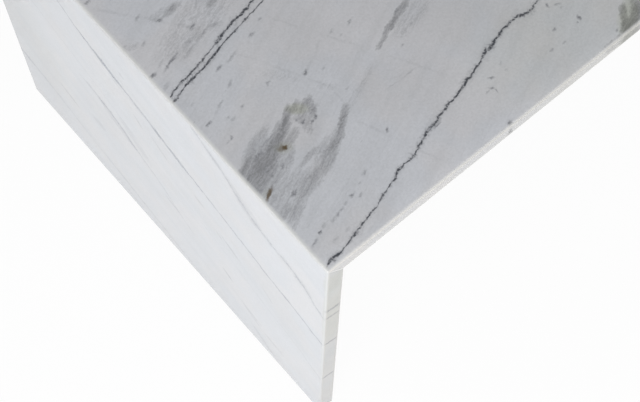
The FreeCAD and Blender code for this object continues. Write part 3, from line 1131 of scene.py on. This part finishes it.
END_MARBLE = Marble(
    name="marble_ends",
    light=(0.605, 0.62, 0.645, 1.0),
    shade=(0.52, 0.54, 0.566, 1.0),
    arris=(0.585, 0.59, 0.588, 1.0),
    # Painted shade: sawn darkens the ends' long edge faces.
    edge_face_light=(0.905, 0.88, 0.835, 1.0),
    edge_face_light_reach=0.7,
    grey=(0.36, 0.38, 0.42, 1.0),
    mist=(0.38, 0.395, 0.43, 1.0),
    dark=(0.24, 0.26, 0.31, 1.0),
    turn=20.7,
    clouds=0.3,
    soft_streaks=0.25,
    broad=30.0,
    fine_streaks=0.06,
    dashes=0.12,
    grain=0.08,
    veins=(
        Vein(END_VEIN, END_TONES, 2.3, 0.1, 0.4),
        Vein(
            UPPER_VEIN, ((-300, 0.3), (-262, 0.38), (-220, 0.3), (-160, 0.33), (-100, 0.25)), 5.0, 0.2, 1.3),
        Vein(
            CROSS_VEIN, ((-70, 0.1), (-30, 0.22), (20, 0.3), (35, 0.5), (88, 0.5), (130, 0.1)),
            4.0, 0.2, 1.2),
        Vein(
            LOWER_VEIN, ((-60, 0.1), (40, 0.25), (90, 0.28), (150, 0.16), (240, 0.3), (300, 0.5)),
            4.2, 0.2, 1.2),
        Vein(LAST_VEIN, ((-300, 0.2), (-250, 0.1), (-90, 0.06), (130, 0.08), (300, 0.15)), 4.5, 0.3, 1.4),
    ),
    smudges=END_SMUDGES,
    # Painted shade: this broad grey patch darkens the rear of the left end panel, where the light falls off.
    # The right end keeps it too, at its front.
    flecks=marks((300, 370, 230, 70, 90.0, 0.19)),
    tints=END_TINTS,
    seed=31.0,
)

FAR_END_VEIN: Route = (
    (-300, 118), (-240, 144), (-190, 158), (-120, 190), (-60, 206), (10, 240), (80, 262), (150, 294),
    (220, 312), (300, 346))
FAR_UPPER_VEIN: Route = (
    (-180, 268), (-110, 300), (-40, 318), (40, 356), (110, 378), (190, 414), (260, 436))

FAR_END_MARBLE = replace(
    END_MARBLE,
    name="marble_far_end",
    veins=(
        Vein(FAR_END_VEIN, ((-300, 0.5), (-150, 0.9), (0, 0.6), (150, 0.4), (300, 0.7)), 0.9, 0.2, 0.25),
        Vein(FAR_UPPER_VEIN, ((-180, 0.2), (-40, 0.6), (110, 0.4), (260, 0.2)), 1.2, 0.3, 0.5),
    ),
    smudges=marks((-60, 120, -130, 92, 8.0, 0.5), (150, 396, 90, 372, 6.0, 0.45)),
    seed=57.0,
)


@dataclass(frozen=True)
class Finish:
    """What every plain finish has.

    Attributes:
        name: The finish's name.
        colour: Its main colour.
        dull_and_shade: Its colour where dust lies or where it is dulled or stained, and on felt a painted
            shade deep between its fibres.
    """

    name: str
    colour: Colour
    dull_and_shade: Colour

    def surface(self, effects: Effects, tree: Tree, position: Value) -> tuple[dict[str, Value], Value, float]:
        """The look of the finish, which each kind of finish draws in its own way."""
        raise NotImplementedError

    def build(self, effects: Effects) -> Material:
        """Makes the material.

        Args:
            effects: The shared node groups.

        Returns:
            The material.
        """
        material, tree, position = start_material(self.name)
        close_material(tree, *self.surface(effects, tree, position))
        return material


@dataclass(frozen=True)
class Resin(Finish):
    """A cast or spread resin with stone dust and small bubbles in it. Sizes are in millimetres.

    Attributes:
        roughness: How rough it is.
        grains: How large the grains in it are.
        dust: How large its dusty patches are.
        depth: How far its relief stands up.
    """

    roughness: float
    grains: float = 0.9
    dust: float = 9.0
    depth: float = 0.12

    def surface(self, effects: Effects, tree: Tree, position: Value) -> tuple[dict[str, Value], Value, float]:
        """The look of the resin.

        Args:
            effects: The shared node groups.
            tree: The material's tree.
            position: The coordinates of the table.

        Returns:
            What the shader takes, the height of the relief, and how far that stands up in metres.
        """
        grain = effects.crystal.place(tree, position=position, size=self.grains * MM)
        dust = tree.band(tree.noise(position, self.dust * MM, 4.0), 0.42, 0.66)
        colour = tree.mix(tree.times(dust, 0.8), self.colour, self.dull_and_shade)
        colour = tree.scaled(colour, tree.times_plus(grain["Grain"], 0.12, 1.0))
        # Painted shade: the pits are darkened to half the resin's colour.
        pit_shade = tuple(0.5 * part for part in self.colour[:3]) + (1.0,)
        colour = tree.mix(tree.times(grain["Pits"], 0.5), colour, pit_shade)
        roughness = tree.times_plus(dust, 0.2, self.roughness)
        relief = tree.times_plus(grain["Pits"], -1.0, tree.times(dust, 0.2))
        return {"Base Color": colour, "Roughness": roughness, "IOR": 1.5}, relief, self.depth * MM


@dataclass(frozen=True)
class Metal(Finish):
    """A plated, rolled or turned metal. Sizes are in millimetres.

    Attributes:
        roughness: How rough it is where bright.
        lay: The length and width of the lines of its lay.
        patches: The size of its dulled patches.
        dulled: How strong they are.
        scratch: The colour of its deeper scratches.
        depth: How far its relief stands up.
    """

    roughness: float
    lay: Pair
    patches: float
    dulled: float
    scratch: Colour = (0.85, 0.85, 0.86, 1.0)
    depth: float = 0.02

    def surface(self, effects: Effects, tree: Tree, position: Value) -> tuple[dict[str, Value], Value, float]:
        """The look of the metal.

        Args:
            effects: The shared node groups.
            tree: The material's tree.
            position: The coordinates of the table.

        Returns:
            What the shader takes, the height of the relief, and how far that stands up in metres.
        """
        lay = effects.lay.place(tree, position=position, length=self.lay[0] * MM, width=self.lay[1] * MM)
        patch = tree.band(tree.noise(position, self.patches * MM, 5.0), 0.4, 0.68)
        colour = tree.mix(tree.times(patch, self.dulled), self.colour, self.dull_and_shade)
        colour = tree.mix(tree.times(lay["Scratch"], 0.25), colour, self.scratch)
        roughness = tree.times_plus(patch, 0.22, tree.times_plus(lay["Height"], 0.12, self.roughness))
        relief = tree.times_plus(lay["Scratch"], -0.5, lay["Height"])
        return {"Base Color": colour, "Metallic": 1.0, "Roughness": roughness}, relief, self.depth * MM


@dataclass(frozen=True)
class Felt(Finish):
    """A dense pressed felt with short fibres. Sizes are in millimetres.

    Attributes:
        fibres: Its fibres, drawn in three directions.
        turns: Those directions, in degrees.
        slant: How far the fibres slant out of the table's planes, about X and Y, in radians.
        mottle: How large its darker patches are.
        depth: How far its relief stands up.
    """

    fibres: Streaks = Streaks(5.0, 0.35, 0.45, 0.7)
    turns: Triple = (15.0, 75.0, 135.0)
    slant: Pair = (0.3, 0.2)
    mottle: float = 6.0
    depth: float = 0.25

    def surface(self, effects: Effects, tree: Tree, position: Value) -> tuple[dict[str, Value], Value, float]:
        """The look of the felt.

        Args:
            effects: The shared node groups.
            tree: The material's tree.
            position: The coordinates of the table.

        Returns:
            What the shader takes, the height of the relief, and how far that stands up in metres.
        """
        ways = []
        for seed, turn in enumerate(self.turns):
            turned = tree.turned(position, (*self.slant, math.radians(turn)))
            ways.append(self.fibres.draw(effects, tree, turned, float(seed)))
        fibres = tree.math("MAXIMUM", ways[0], tree.math("MAXIMUM", ways[1], ways[2]))
        mottle = tree.noise(position, self.mottle * MM, 4.0, 3.0)
        # Painted shade: between the fibres the felt takes its dull colour; the mottle below is real darker
        # patches.
        colour = tree.mix(fibres, self.dull_and_shade, self.colour)
        colour = tree.mix(tree.band(mottle, 0.4, 0.7, 0.0, 0.25), colour, self.dull_and_shade)
        relief = tree.times_plus(mottle, 0.6, fibres)
        values = {"Base Color": colour, "Roughness": 0.95, "Sheen Weight": 0.35, "Sheen Roughness": 0.5}
        return values, relief, self.depth * MM


def dress(node: str, material: Material) -> None:
    """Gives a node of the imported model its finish.

    Args:
        node: The node's name.
        material: The finish.
    """
    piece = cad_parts[node]
    if not piece.material_slots:
        piece.data.materials.append(material)
    for slot in piece.material_slots:
        slot.material = material
    log.info("dressed %s in %s", node, material.name)


def show(name: str, data: bpy.types.ID) -> bpy.types.Object:
    """Adds an object to the scene.

    Args:
        name: Its name.
        data: Its mesh, lamp or camera.

    Returns:
        The object.
    """
    piece = bpy.data.objects.new(name, data)
    bpy.context.scene.collection.objects.link(piece)
    return piece


@dataclass(frozen=True)
class Ring:
    """One ring of corners about the Z axis of a turned piece.

    Attributes:
        radius: Its radius in millimetres, or a rule that gives one from the angle.
        height: Its height, or a rule that gives one from the angle.
    """

    radius: Measure
    height: Measure

    def corner(self, angle: float) -> Vector:
        """The ring's corner at an angle.

        Args:
            angle: The angle from X, in radians.

        Returns:
            The corner.
        """
        radius = self.radius(angle) if callable(self.radius) else self.radius
        height = self.height(angle) if callable(self.height) else self.height
        return Vector((radius * math.cos(angle), radius * math.sin(angle), height))


def profile(*corners: tuple[Measure, Measure]) -> list[Ring]:
    """Rings from pairs of a radius and a height."""
    return [Ring(radius, height) for radius, height in corners]


def move(points: list[bmesh.types.BMVert], corners: list[Vector]) -> None:
    """Moves the points of a ring to its corners, in order."""
    for point, corner in zip(points, corners):
        point.co = corner


class Moulding:
    """A mesh in the making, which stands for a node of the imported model."""

    def __init__(self, name: str) -> None:
        """Starts an empty mesh under a name."""
        self.name = name
        self.shape = bmesh.new()

    def skin(self, rings: list[list[Vector]], looped: bool) -> None:
        """Grows a skin from ring to ring: it starts as a circle, and each ring is extruded from the last.

        Extruding keeps the points in their order.

        Args:
            rings: The corners of each ring, all with the same number.
            looped: Whether the last ring meets the first, or both are closed by faces.
        """
        start = bmesh.ops.create_circle(self.shape, segments=len(rings[0]), radius=MM)["verts"]
        move(start, rings[0])
        rim = list(dict.fromkeys(edge for point in start for edge in point.link_edges))
        points, edges = start, rim
        for corners in rings[1:] + (rings[:1] if looped else []):
            grown = bmesh.ops.extrude_edge_only(self.shape, edges=edges)["geom"]
            points = [item for item in grown if isinstance(item, bmesh.types.BMVert)]
            edges = [item for item in grown if isinstance(item, bmesh.types.BMEdge)]
            move(points, corners)
        if looped:
            bmesh.ops.weld_verts(self.shape, targetmap=dict(zip(points, start)))
        else:
            bmesh.ops.edgeloop_fill(self.shape, edges=rim + edges)

    def lathe(self, rings: list[Ring], place: Matrix, looped: bool) -> None:
        """Turns a profile and sets it in its place.

        Args:
            rings: The rings of the profile, in order.
            place: The move from the rings' millimetres to the table.
            looped: Whether the profile is closed on itself.
        """
        angles = [math.tau * index / SIDES for index in range(SIDES)]
        self.skin([[place @ ring.corner(angle) for angle in angles] for ring in rings], looped)

    def close(self, material: Material, node: str, slot: str, sharp: float) -> bpy.types.Object:
        """Ends the mesh and lets it stand for its node.

        Args:
            material: Its finish.
            node: The node that it replaces.
            slot: The name of the record's slot for its finish, which is not used.
            sharp: The angle from which edges are sharp, in degrees.

        Returns:
            The new piece.
        """
        bmesh.ops.recalc_face_normals(self.shape, faces=self.shape.faces)
        mesh = bpy.data.meshes.new(self.name)
        self.shape.to_mesh(mesh)
        self.shape.free()
        mesh.shade_smooth()
        mesh.set_sharp_from_angle(angle=math.radians(sharp))
        mesh.materials.append(material)
        piece = show(self.name, mesh)
        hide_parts(node)
        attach(piece, "root")
        log.info("made %s with %d faces", self.name, len(mesh.polygons))
        return piece


@dataclass
class Slabs:
    """The three slabs of stone."""

    top: Marble = TOP_MARBLE
    left: Marble = END_MARBLE
    right: Marble = FAR_END_MARBLE

    def build(self, effects: Effects) -> None:
        """Gives each slab its marble."""
        for cut, marble in zip(Cut, (self.top, self.left, self.right)):
            dress(cut.value, Stonework(marble, effects, cut).build())


@dataclass
class Bonding:
    """The epoxy in the mitres, and the resin round the bars under the top."""

    epoxy: Resin = Resin("bond_epoxy", (0.62, 0.62, 0.60, 1.0), (0.72, 0.72, 0.71, 1.0), 0.3)
    filler: Resin = Resin("slot_resin", (0.50, 0.48, 0.43, 1.0), (0.62, 0.61, 0.58, 1.0), 0.42)

    def build(self, effects: Effects) -> None:
        """Gives the bonds and the filled slots their resins.

        Args:
            effects: The shared node groups.
        """
        epoxy = self.epoxy.build(effects)
        filler = self.filler.build(effects)
        for end in End:
            dress(f"{end.word}_mitre_bond", epoxy)
        for place in Place:
            dress(f"bar_resin_{place.value}", filler)


@dataclass(frozen=True)
class Fixing:
    """A point where a screw goes into a slab.

    Attributes:
        point: The middle of the hole on the slab's face, in metres.
        inwards: The way into the stone.
    """

    point: Vector
    inwards: Vector

    def frame(self) -> Matrix:
        """The move from a piece drawn in millimetres on the Z axis, with the stone above, to this fixing."""
        turn = UP.rotation_difference(self.inwards).to_matrix().to_4x4()
        return Matrix.Translation(self.point) @ turn @ Matrix.Scale(MM, 4)


@dataclass(frozen=True)
class Screw:
    """A hexagon-head screw with its head below the seat and its tip in the stone. Millimetres.

    Attributes:
        seat: The height of the head's seat.
        head_height: How high the head is.
        head_flats: The width of the head across its flats.
        chamfer: The radius from which the crown slopes down, at 30 degrees.
        dish: The dish in the crown, as pairs of a radius and a depth.
        face_circle: The radius of the washer face under the head.
        face_height: How thick that face is.
        radius: The thread's outer radius.
        depth: The thread's depth.
        pitch: The thread's pitch.
        steps: How many rings there are to one turn of the thread.
        neck: How long the plain neck under the head is.
        runout: How far from the neck, and from the tip's chamfer, the thread starts.
        end: The height of the tip.
        tip_radius: The radius of the tip.
        tip_height: How long the chamfer of the tip is.
        tip_inset: How far the chamfer starts inside the thread's radius.
        crest: How flat the crests are, against 1 for a plain vee.
        flank: How steep the flanks are.
    """

    seat: float
    head_height: float = 4.0
    head_flats: float = 10.0
    chamfer: float = 4.7
    dish: Route = ((1.6, 0.3), (2.7, 0.22), (3.3, 0.0))
    face_circle: float = 4.6
    face_height: float = 0.3
    radius: float = 2.95
    depth: float = 0.55
    pitch: float = 1.0
    steps: int = 8
    neck: float = 0.6
    runout: Pair = (0.2, 0.1)
    end: float = 8.4
    tip_radius: float = 2.3
    tip_height: float = 0.6
    tip_inset: float = 0.1
    crest: float = 1.2
    flank: float = 2.8

    def flats(self, angle: float) -> float:
        """The radius of the hexagon at an angle."""
        sector = math.radians(60.0)
        return self.head_flats / 2 / math.cos((angle % sector) - sector / 2)

    def shoulder(self, angle: float) -> float:
        """The height at which the crown's slope meets the hexagon at an angle."""
        drop = (self.flats(angle) - self.chamfer) * math.tan(math.radians(30.0))
        return self.seat - self.head_height + drop

    def head(self) -> list[Ring]:
        """The rings of the head, from its dished crown to its seat.

        Returns:
            The rings.
        """
        top = self.seat - self.head_height
        low = self.seat - self.face_height
        crown = profile(*((radius, top + depth) for radius, depth in self.dish), (self.chamfer, top))
        under = profile((self.face_circle, low), (self.face_circle, self.seat))
        return crown + [Ring(self.flats, self.shoulder), Ring(self.flats, low)] + under

    def groove(self, height: float, fade: float) -> Callable[[float], float]:
        """The rule for the radius of one ring of the thread.

        Args:
            height: The ring's height.
            fade: How deep the thread is there, from 0 to 1.

        Returns:
            The rule, which gives the radius from the angle.
        """

        def cut(angle: float) -> float:
            """Works out the radius.

            Args:
                angle: The angle from X, in radians.

            Returns:
                The radius at that angle.
            """
            turn = (height / self.pitch - angle / math.tau) % 1.0
            shape = min(1.0, max(0.0, self.crest - abs(turn - 0.5) * self.flank))
            return self.radius - self.depth * fade * shape

        return cut

    def thread(self) -> list[Ring]:
        """The rings of the shank: a short neck, the cut thread and a chamfered tip.

        Returns:
            The rings.
        """
        made = profile((self.radius, self.seat), (self.radius, self.seat + self.neck))
        start = self.neck + self.runout[0]
        step = self.pitch / self.steps
        count = int((self.end - self.tip_height - self.runout[1] - self.seat - start) / step)
        for index in range(count + 1):
            height = self.seat + start + index * step
            fade = min(1.0, index * step / self.pitch, (count - index) * step / self.pitch)
            made.append(Ring(self.groove(height, fade), height))
        chamfer = (self.radius - self.tip_inset, self.end - self.tip_height)
        return made + profile(chamfer, (self.tip_radius, self.end))

    def rings(self) -> list[Ring]:
        """The rings of the whole screw, from its crown to its tip."""
        return self.head() + self.thread()


@dataclass(frozen=True)
class Washer:
    """A washer with rolled edges, between a screw's head and its bracket. Millimetres.

    Attributes:
        low: The height of its lower face.
        high: The height of its upper face.
        radius: Its outer radius.
        bore: The radius of its bore.
        roll: How far its lower outer edge is rolled, inwards and upwards.
        roll_middle: The middle of that roll, measured in the same way.
        outer_break: How far its upper outer edge is broken.
        low_break: How far the lower edge of its bore is broken, outwards and upwards.
        high_break: How far the upper edge of its bore is broken.
    """

    low: float = -5.6
    high: float = -4.0
    radius: float = 6.0
    bore: float = 3.2
    roll: Pair = (0.35, 0.45)
    roll_middle: Pair = (0.08, 0.12)
    outer_break: float = 0.12
    low_break: Pair = (0.12, 0.15)
    high_break: float = 0.2

    def rings(self) -> list[Ring]:
        """The rings right round the washer's section, from the lower edge of its bore outwards.

        Returns:
            The rings.
        """
        inner, outer, low, high = self.bore, self.radius, self.low, self.high
        return profile(
            (inner, low + self.low_break[1]),
            (inner + self.low_break[0], low),
            (outer - self.roll[0], low),
            (outer - self.roll_middle[0], low + self.roll_middle[1]),
            (outer, low + self.roll[1]),
            (outer, high - self.outer_break),
            (outer - self.outer_break, high),
            (inner + self.high_break, high),
            (inner, high - self.high_break))


@dataclass(frozen=True)
class Insert:
    """A sleeve with knurled bands outside, glued into the stone. Millimetres.

    Attributes:
        radius: Its radius over the knurls.
        bore: The radius of its bore.
        length: How long it is.
        depth: How deep its bore is.
        floor_share: The radius of the bore's floor, as a share of the bore's.
        cone: How long the cone is that leads to the floor.
        mouth: How far the mouth is opened outwards, and how deep.
        lip: How far the outer edge at the mouth is broken.
        tail: How far the far edge is broken, along and inwards.
        relief: How far its plain stretches lie under the knurls.
        groove: How far its grooves lie under them.
        knurl: How deep the knurls are cut.
        bands: Where the bands start.
        groove_run: Where the groove of a band starts and ends, from the band's start.
        knurl_run: Where its knurls start and end, from there too.
    """

    radius: float = 4.75
    bore: float = 3.05
    length: float = 12.0
    depth: float = 10.5
    floor_share: float = 0.6
    cone: float = 0.5
    mouth: Pair = (0.45, 0.6)
    lip: float = 0.35
    tail: Pair = (0.6, 0.5)
    relief: float = 0.05
    groove: float = 0.6
    knurl: float = 0.22
    bands: Triple = (1.2, 4.6, 8.0)
    groove_run: Pair = (0.2, 0.8)
    knurl_run: Pair = (1.0, 3.1)

    def knurled(self, angle: float) -> float:
        """The radius of the knurled bands at an angle."""
        return self.radius - self.knurl * (0.5 + 0.5 * math.cos(angle * SIDES / 2))

    def rings(self) -> list[Ring]:
        """The rings from the floor of the bore to its mouth, and back along the knurled outside.

        Returns:
            The rings.
        """
        bore, outer, groove = self.bore, self.radius - self.relief, self.radius - self.groove
        made = profile(
            (bore * self.floor_share, self.depth), (bore, self.depth - self.cone), (bore, self.mouth[1]),
            (bore + self.mouth[0], 0.0), (outer - self.lip, 0.0), (outer, self.lip), (outer, self.bands[0]))
        for start in self.bands:
            made += profile(*((groove, start + run) for run in self.groove_run))
            made += profile(*((self.knurled, start + run) for run in self.knurl_run))
        return made + profile((outer, self.length - self.tail[0]), (outer - self.tail[1], self.length))


@dataclass
class Bracketry:
    """The pressed brackets in the inner corners, with their screws, washers and inserts. Millimetres.

    Attributes:
        hole_reach: How far the holes are from the inner corner.
        washer: The washers. Their lower face is the seat of the screws.
        insert: The inserts.
        plate: The brackets' finish.
        stainless: The finish of screws and washers.
        brass: The inserts' finish.
    """

    hole_reach: float = 42.0
    washer: Washer = Washer()
    insert: Insert = Insert()
    plate: Metal = Metal(
        "bracket_steel", (0.50, 0.51, 0.535, 1.0), (0.30, 0.31, 0.33, 1.0), 0.38, (30.0, 0.35), 7.0, 0.7)
    stainless: Metal = Metal(
        "fastener_steel", (0.58, 0.58, 0.585, 1.0), (0.40, 0.40, 0.405, 1.0), 0.24, (4.0, 0.2), 3.0, 0.5)
    brass: Metal = Metal(
        "insert_brass", (0.80, 0.60, 0.30, 1.0), (0.55, 0.40, 0.20, 1.0), 0.25, (3.0, 0.2), 4.0, 0.4)

    def fixings(self, end: End) -> list[Fixing]:
        """The four fixings of one end, from the boxes of its brackets.

        Args:
            end: The end.

        Returns:
            The fixings.
        """
        outwards = Vector((end.value, 0.0, 0.0))
        found = []
        for place in (Place.FRONT, Place.REAR):
            low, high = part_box(f"{end.word}_bracket_{place.value}")
            corner = Vector((high.x if end is End.RIGHT else low.x, (low.y + high.y) / 2, high.z))
            found.append(Fixing(corner - outwards * self.hole_reach * MM, UP))
            found.append(Fixing(corner - UP * self.hole_reach * MM, outwards))
        return found

    def build(self, effects: Effects) -> None:
        """Makes the fasteners and gives each piece of metal its finish.

        Args:
            effects: The shared node groups.
        """
        plate, stainless, brass = (metal.build(effects) for metal in (self.plate, self.stainless, self.brass))
        kinds = (
            ("bracket_screws", Screw(self.washer.low).rings(), False, stainless, "fastener_steel"),
            ("bracket_washers", self.washer.rings(), True, stainless, "fastener_steel"),
            ("screw_inserts", self.insert.rings(), False, brass, "insert_brass"))
        for end in End:
            for place in (Place.FRONT, Place.REAR):
                dress(f"{end.word}_bracket_{place.value}", plate)
            frames = [fixing.frame() for fixing in self.fixings(end)]
            for name, rings, looped, material, slot in kinds:
                made = Moulding(f"dressed_{end.word}_{name}")
                for place in frames:
                    made.lathe(rings, place, looped)
                made.close(material, f"{end.word}_{name}", slot, 40.0)


@dataclass
class Reinforcement:
    """The flat bars on edge under the top."""

    mill: Metal = Metal(
        "bar_steel", (0.33, 0.33, 0.34, 1.0), (0.19, 0.18, 0.175, 1.0), 0.5, (60.0, 0.5), 6.0, 0.8)

    def build(self, effects: Effects) -> None:
        """Gives the bars their steel.

        Args:
            effects: The shared node groups.
        """
        mill = self.mill.build(effects)
        for place in Place:
            dress(f"reinforcing_bar_{place.value}", mill)


@dataclass
class FootPads:
    """The felt pads under both ends: strips with round corners, pressed flat by the stone. Millimetres.

    Attributes:
        corner: The radius of their corners.
        corner_steps: How many runs a corner is cut into.
        side_steps: How many runs a side is cut into.
        ragged: How far their outline wanders inwards.
        fuzz: How far each point wanders on its own.
        levels: Their section, as pairs of a height and how far the outline is set in there.
        seed: A different number gives other outlines.
        felt: Their finish.
    """

    corner: float = 3.0
    corner_steps: int = 5
    side_steps: int = 12
    ragged: float = 0.12
    fuzz: float = 0.04
    levels: Route = (
        (0.0, 0.9), (0.06, 0.45), (0.3, 0.12), (0.6, 0.0), (1.1, -0.25), (1.7, -0.3), (2.3, -0.12),
        (2.7, 0.1), (2.94, 0.45), (3.0, 0.9))
    seed: int = 7
    felt: Felt = Felt("foot_felt", (0.66, 0.64, 0.60, 1.0), (0.40, 0.39, 0.36, 1.0))

    def outline(self, half_x: float, half_y: float) -> list[Vector]:
        """The outline of a strip with round corners, each side cut into short runs.

        Args:
            half_x: Half its length along X.
            half_y: Half its length along Y.

        Returns:
            Its points, in order.
        """
        points = []
        for sign_x, sign_y, start in ((1, 1, 0), (-1, 1, 90), (-1, -1, 180), (1, -1, 270)):
            centre = Vector((sign_x * (half_x - self.corner), sign_y * (half_y - self.corner)))
            for step in range(self.corner_steps + 1):
                angle = math.radians(start + 90.0 * step / self.corner_steps)
                points.append(centre + Vector((math.cos(angle), math.sin(angle))) * self.corner)
        run = []
        for first, last in zip(points, points[1:] + points[:1]):
            count = self.side_steps if (last - first).length > 2 * self.corner else 1
            run += [first.lerp(last, step / count) for step in range(count)]
        return run

    def section(self, low: Vector, high: Vector, chance: random.Random) -> list[list[Vector]]:
        """The rings of one pad, from the floor up.

        Args:
            low: The low corner of the pad's box, in metres.
            high: Its high corner.
            chance: The draws that make the felt ragged.

        Returns:
            The rings, as corners in metres.
        """
        middle = (low + high) / 2
        outline = self.outline((high.x - low.x) / MM / 2, (high.y - low.y) / MM / 2)
        sway = [chance.uniform(-self.ragged, 0.0) for _ in outline]
        made = []
        for height, inset in self.levels:
            ring = []
            for point, off in zip(outline, sway):
                out = point + point.normalized() * (off + chance.uniform(-self.fuzz, 0.0))
                out -= Vector((math.copysign(inset, point.x), math.copysign(inset, point.y)))
                ring.append(Vector((middle.x + out.x * MM, middle.y + out.y * MM, low.z + height * MM)))
            made.append(ring)
        return made

    def build(self, effects: Effects) -> None:
        """Makes each pad and gives it its felt.

        Args:
            effects: The shared node groups.
        """
        felt = self.felt.build(effects)
        chance = random.Random(self.seed)
        for end in End:
            for place in Place:
                node = f"{end.word}_foot_pad_{place.value}"
                made = Moulding(f"dressed_{node}")
                made.skin(self.section(*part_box(node), chance), False)
                piece = made.close(felt, node, "foot_felt", 60.0)


@dataclass(frozen=True)
class Lamp:
    """One soft square lamp.

    Attributes:
        name: Its name.
        place: Where it stands.
        aim: The point that it faces.
        size: The side of its square.
        power: Its power in watts.
    """

    name: str
    place: Triple
    aim: Triple
    size: float
    power: float

    def build(self) -> None:
        """Adds the lamp to the scene."""
        data = bpy.data.lights.new(self.name, "AREA")
        data.size = self.size
        data.energy = self.power
        piece = show(self.name, data)
        piece.location = self.place
        piece.rotation_euler = (Vector(self.aim) - Vector(self.place)).to_track_quat("-Z", "Y").to_euler()


@dataclass
class Studio:
    """The floor, the light and the camera.

    Attributes:
        camera_place: Where the camera stands.
        azimuth: The compass direction that it looks in, from +Y towards +X, in degrees.
        elevation: How far it looks down, in degrees.
        roll: How far it is turned about its own line of sight, in degrees.
        focal_length: Its lens, in millimetres.
        sensor_width: The width of its sensor, in millimetres.
        clip_start: The nearest that it sees.
        floor_size: The side of the floor.
        floor_colour: The floor's colour.
        floor_glow: How white the floor is where it is seen, from 0 to 1.
        room: The colour of the room's light.
        sky_side: How bright the room is at its sides.
        sky_top: How bright it is overhead.
        lamps: The lamps.
    """

    camera_place: Triple = (-0.88669, -0.59603, 1.49588)
    azimuth: float = 42.7723
    elevation: float = 64.9903
    roll: float = 2.0943
    focal_length: float = 69.774
    sensor_width: float = 36.0
    clip_start: float = 0.05
    floor_size: float = 30.0
    floor_colour: Colour = (0.86, 0.86, 0.86, 1.0)
    floor_glow: float = 0.95
    room: Colour = (0.985, 0.99, 1.0, 1.0)
    sky_side: float = 0.60
    sky_top: float = 0.445
    lamps: tuple[Lamp, ...] = (
        Lamp("key", (-1.75, -1.1, 1.25), (-0.4, 0.0, 0.3), 1.4, 26.0),
        Lamp("fill", (1.3, -1.2, 2.3), (0.0, 0.0, 0.3), 2.0, 7.0),
    )

    def build(self) -> None:
        """Sets up the camera, the floor, the world and the lamps."""
        self.camera()
        self.floor()
        self.world()
        for lamp in self.lamps:
            lamp.build()
        bpy.context.scene.view_settings.view_transform = "Standard"

    def camera(self) -> None:
        """Puts the camera at the photograph's place and view."""
        data = bpy.data.cameras.new("camera")
        data.lens = self.focal_length
        data.sensor_width = self.sensor_width
        data.clip_start = self.clip_start
        camera = show("camera", data)
        turned = Matrix.Rotation(-math.radians(self.azimuth), 3, "Z")
        tipped = Matrix.Rotation(math.radians(90.0 - self.elevation), 3, "X")
        rolled = Matrix.Rotation(math.radians(self.roll), 3, "Z")
        camera.matrix_world = Matrix.Translation(self.camera_place) @ (turned @ tipped @ rolled).to_4x4()
        bpy.context.scene.camera = camera

    def seen(self, tree: Tree) -> Socket:
        """1 for rays from the camera and for those that gloss and glass send on, and 0 for the rest.

        Args:
            tree: The tree that takes it.

        Returns:
            The number.
        """
        path = tree.node("ShaderNodeLightPath").outputs
        plain = tree.plus(path["Is Camera Ray"], path["Is Glossy Ray"])
        return tree.math("ADD", plain, path["Is Transmission Ray"], clamp=True)

    def floor(self) -> None:
        """Makes the pale floor, which shows nearly white and keeps the table's shadow."""
        shape = bmesh.new()
        bmesh.ops.create_grid(shape, x_segments=1, y_segments=1, size=self.floor_size / 2)
        mesh = bpy.data.meshes.new("floor")
        shape.to_mesh(mesh)
        shape.free()
        piece = show("floor", mesh)
        material = bpy.data.materials.new("floor")
        tree = empty_tree(material)
        matt = tree.node("ShaderNodeBsdfDiffuse", {"Color": self.floor_colour}).outputs[0]
        glow = tree.node("ShaderNodeEmission", {"Color": WHITE, "Strength": 1.0}).outputs[0]
        share = tree.times(self.seen(tree), self.floor_glow)
        both = tree.node("ShaderNodeMixShader", {0: share, 1: matt, 2: glow}).outputs[0]
        tree.put(both, tree.node("ShaderNodeOutputMaterial").inputs["Surface"])
        mesh.materials.append(material)

    def world(self) -> None:
        """Makes the light of a pale room: brighter at the sides than overhead, and white where it is seen."""
        world = bpy.data.worlds.new("studio")
        bpy.context.scene.world = world
        tree = empty_tree(world)
        up = tree.parts(tree.node("ShaderNodeTexCoord").outputs["Generated"])[2]
        level = tree.band(up, 0.0, 0.9, self.sky_side, self.sky_top)
        room = tree.node("ShaderNodeBackground", {"Color": self.room, "Strength": level}).outputs[0]
        white = tree.node("ShaderNodeBackground", {"Color": WHITE, "Strength": 1.0}).outputs[0]
        both = tree.node("ShaderNodeMixShader", {0: self.seen(tree), 1: room, 2: white}).outputs[0]
        tree.put(both, tree.node("ShaderNodeOutputWorld").inputs["Surface"])


def main() -> None:
    """Builds the table's looks, piece by piece."""
    logging.basicConfig(level=logging.INFO, format="%(name)s: %(message)s")
    effects = Effects()
    Studio().build()
    for part in (Slabs(), Bonding(), Bracketry(), Reinforcement(), FootPads()):
        log.info("building %s", type(part).__name__)
        part.build(effects)


if __name__ == "__main__":
    main()
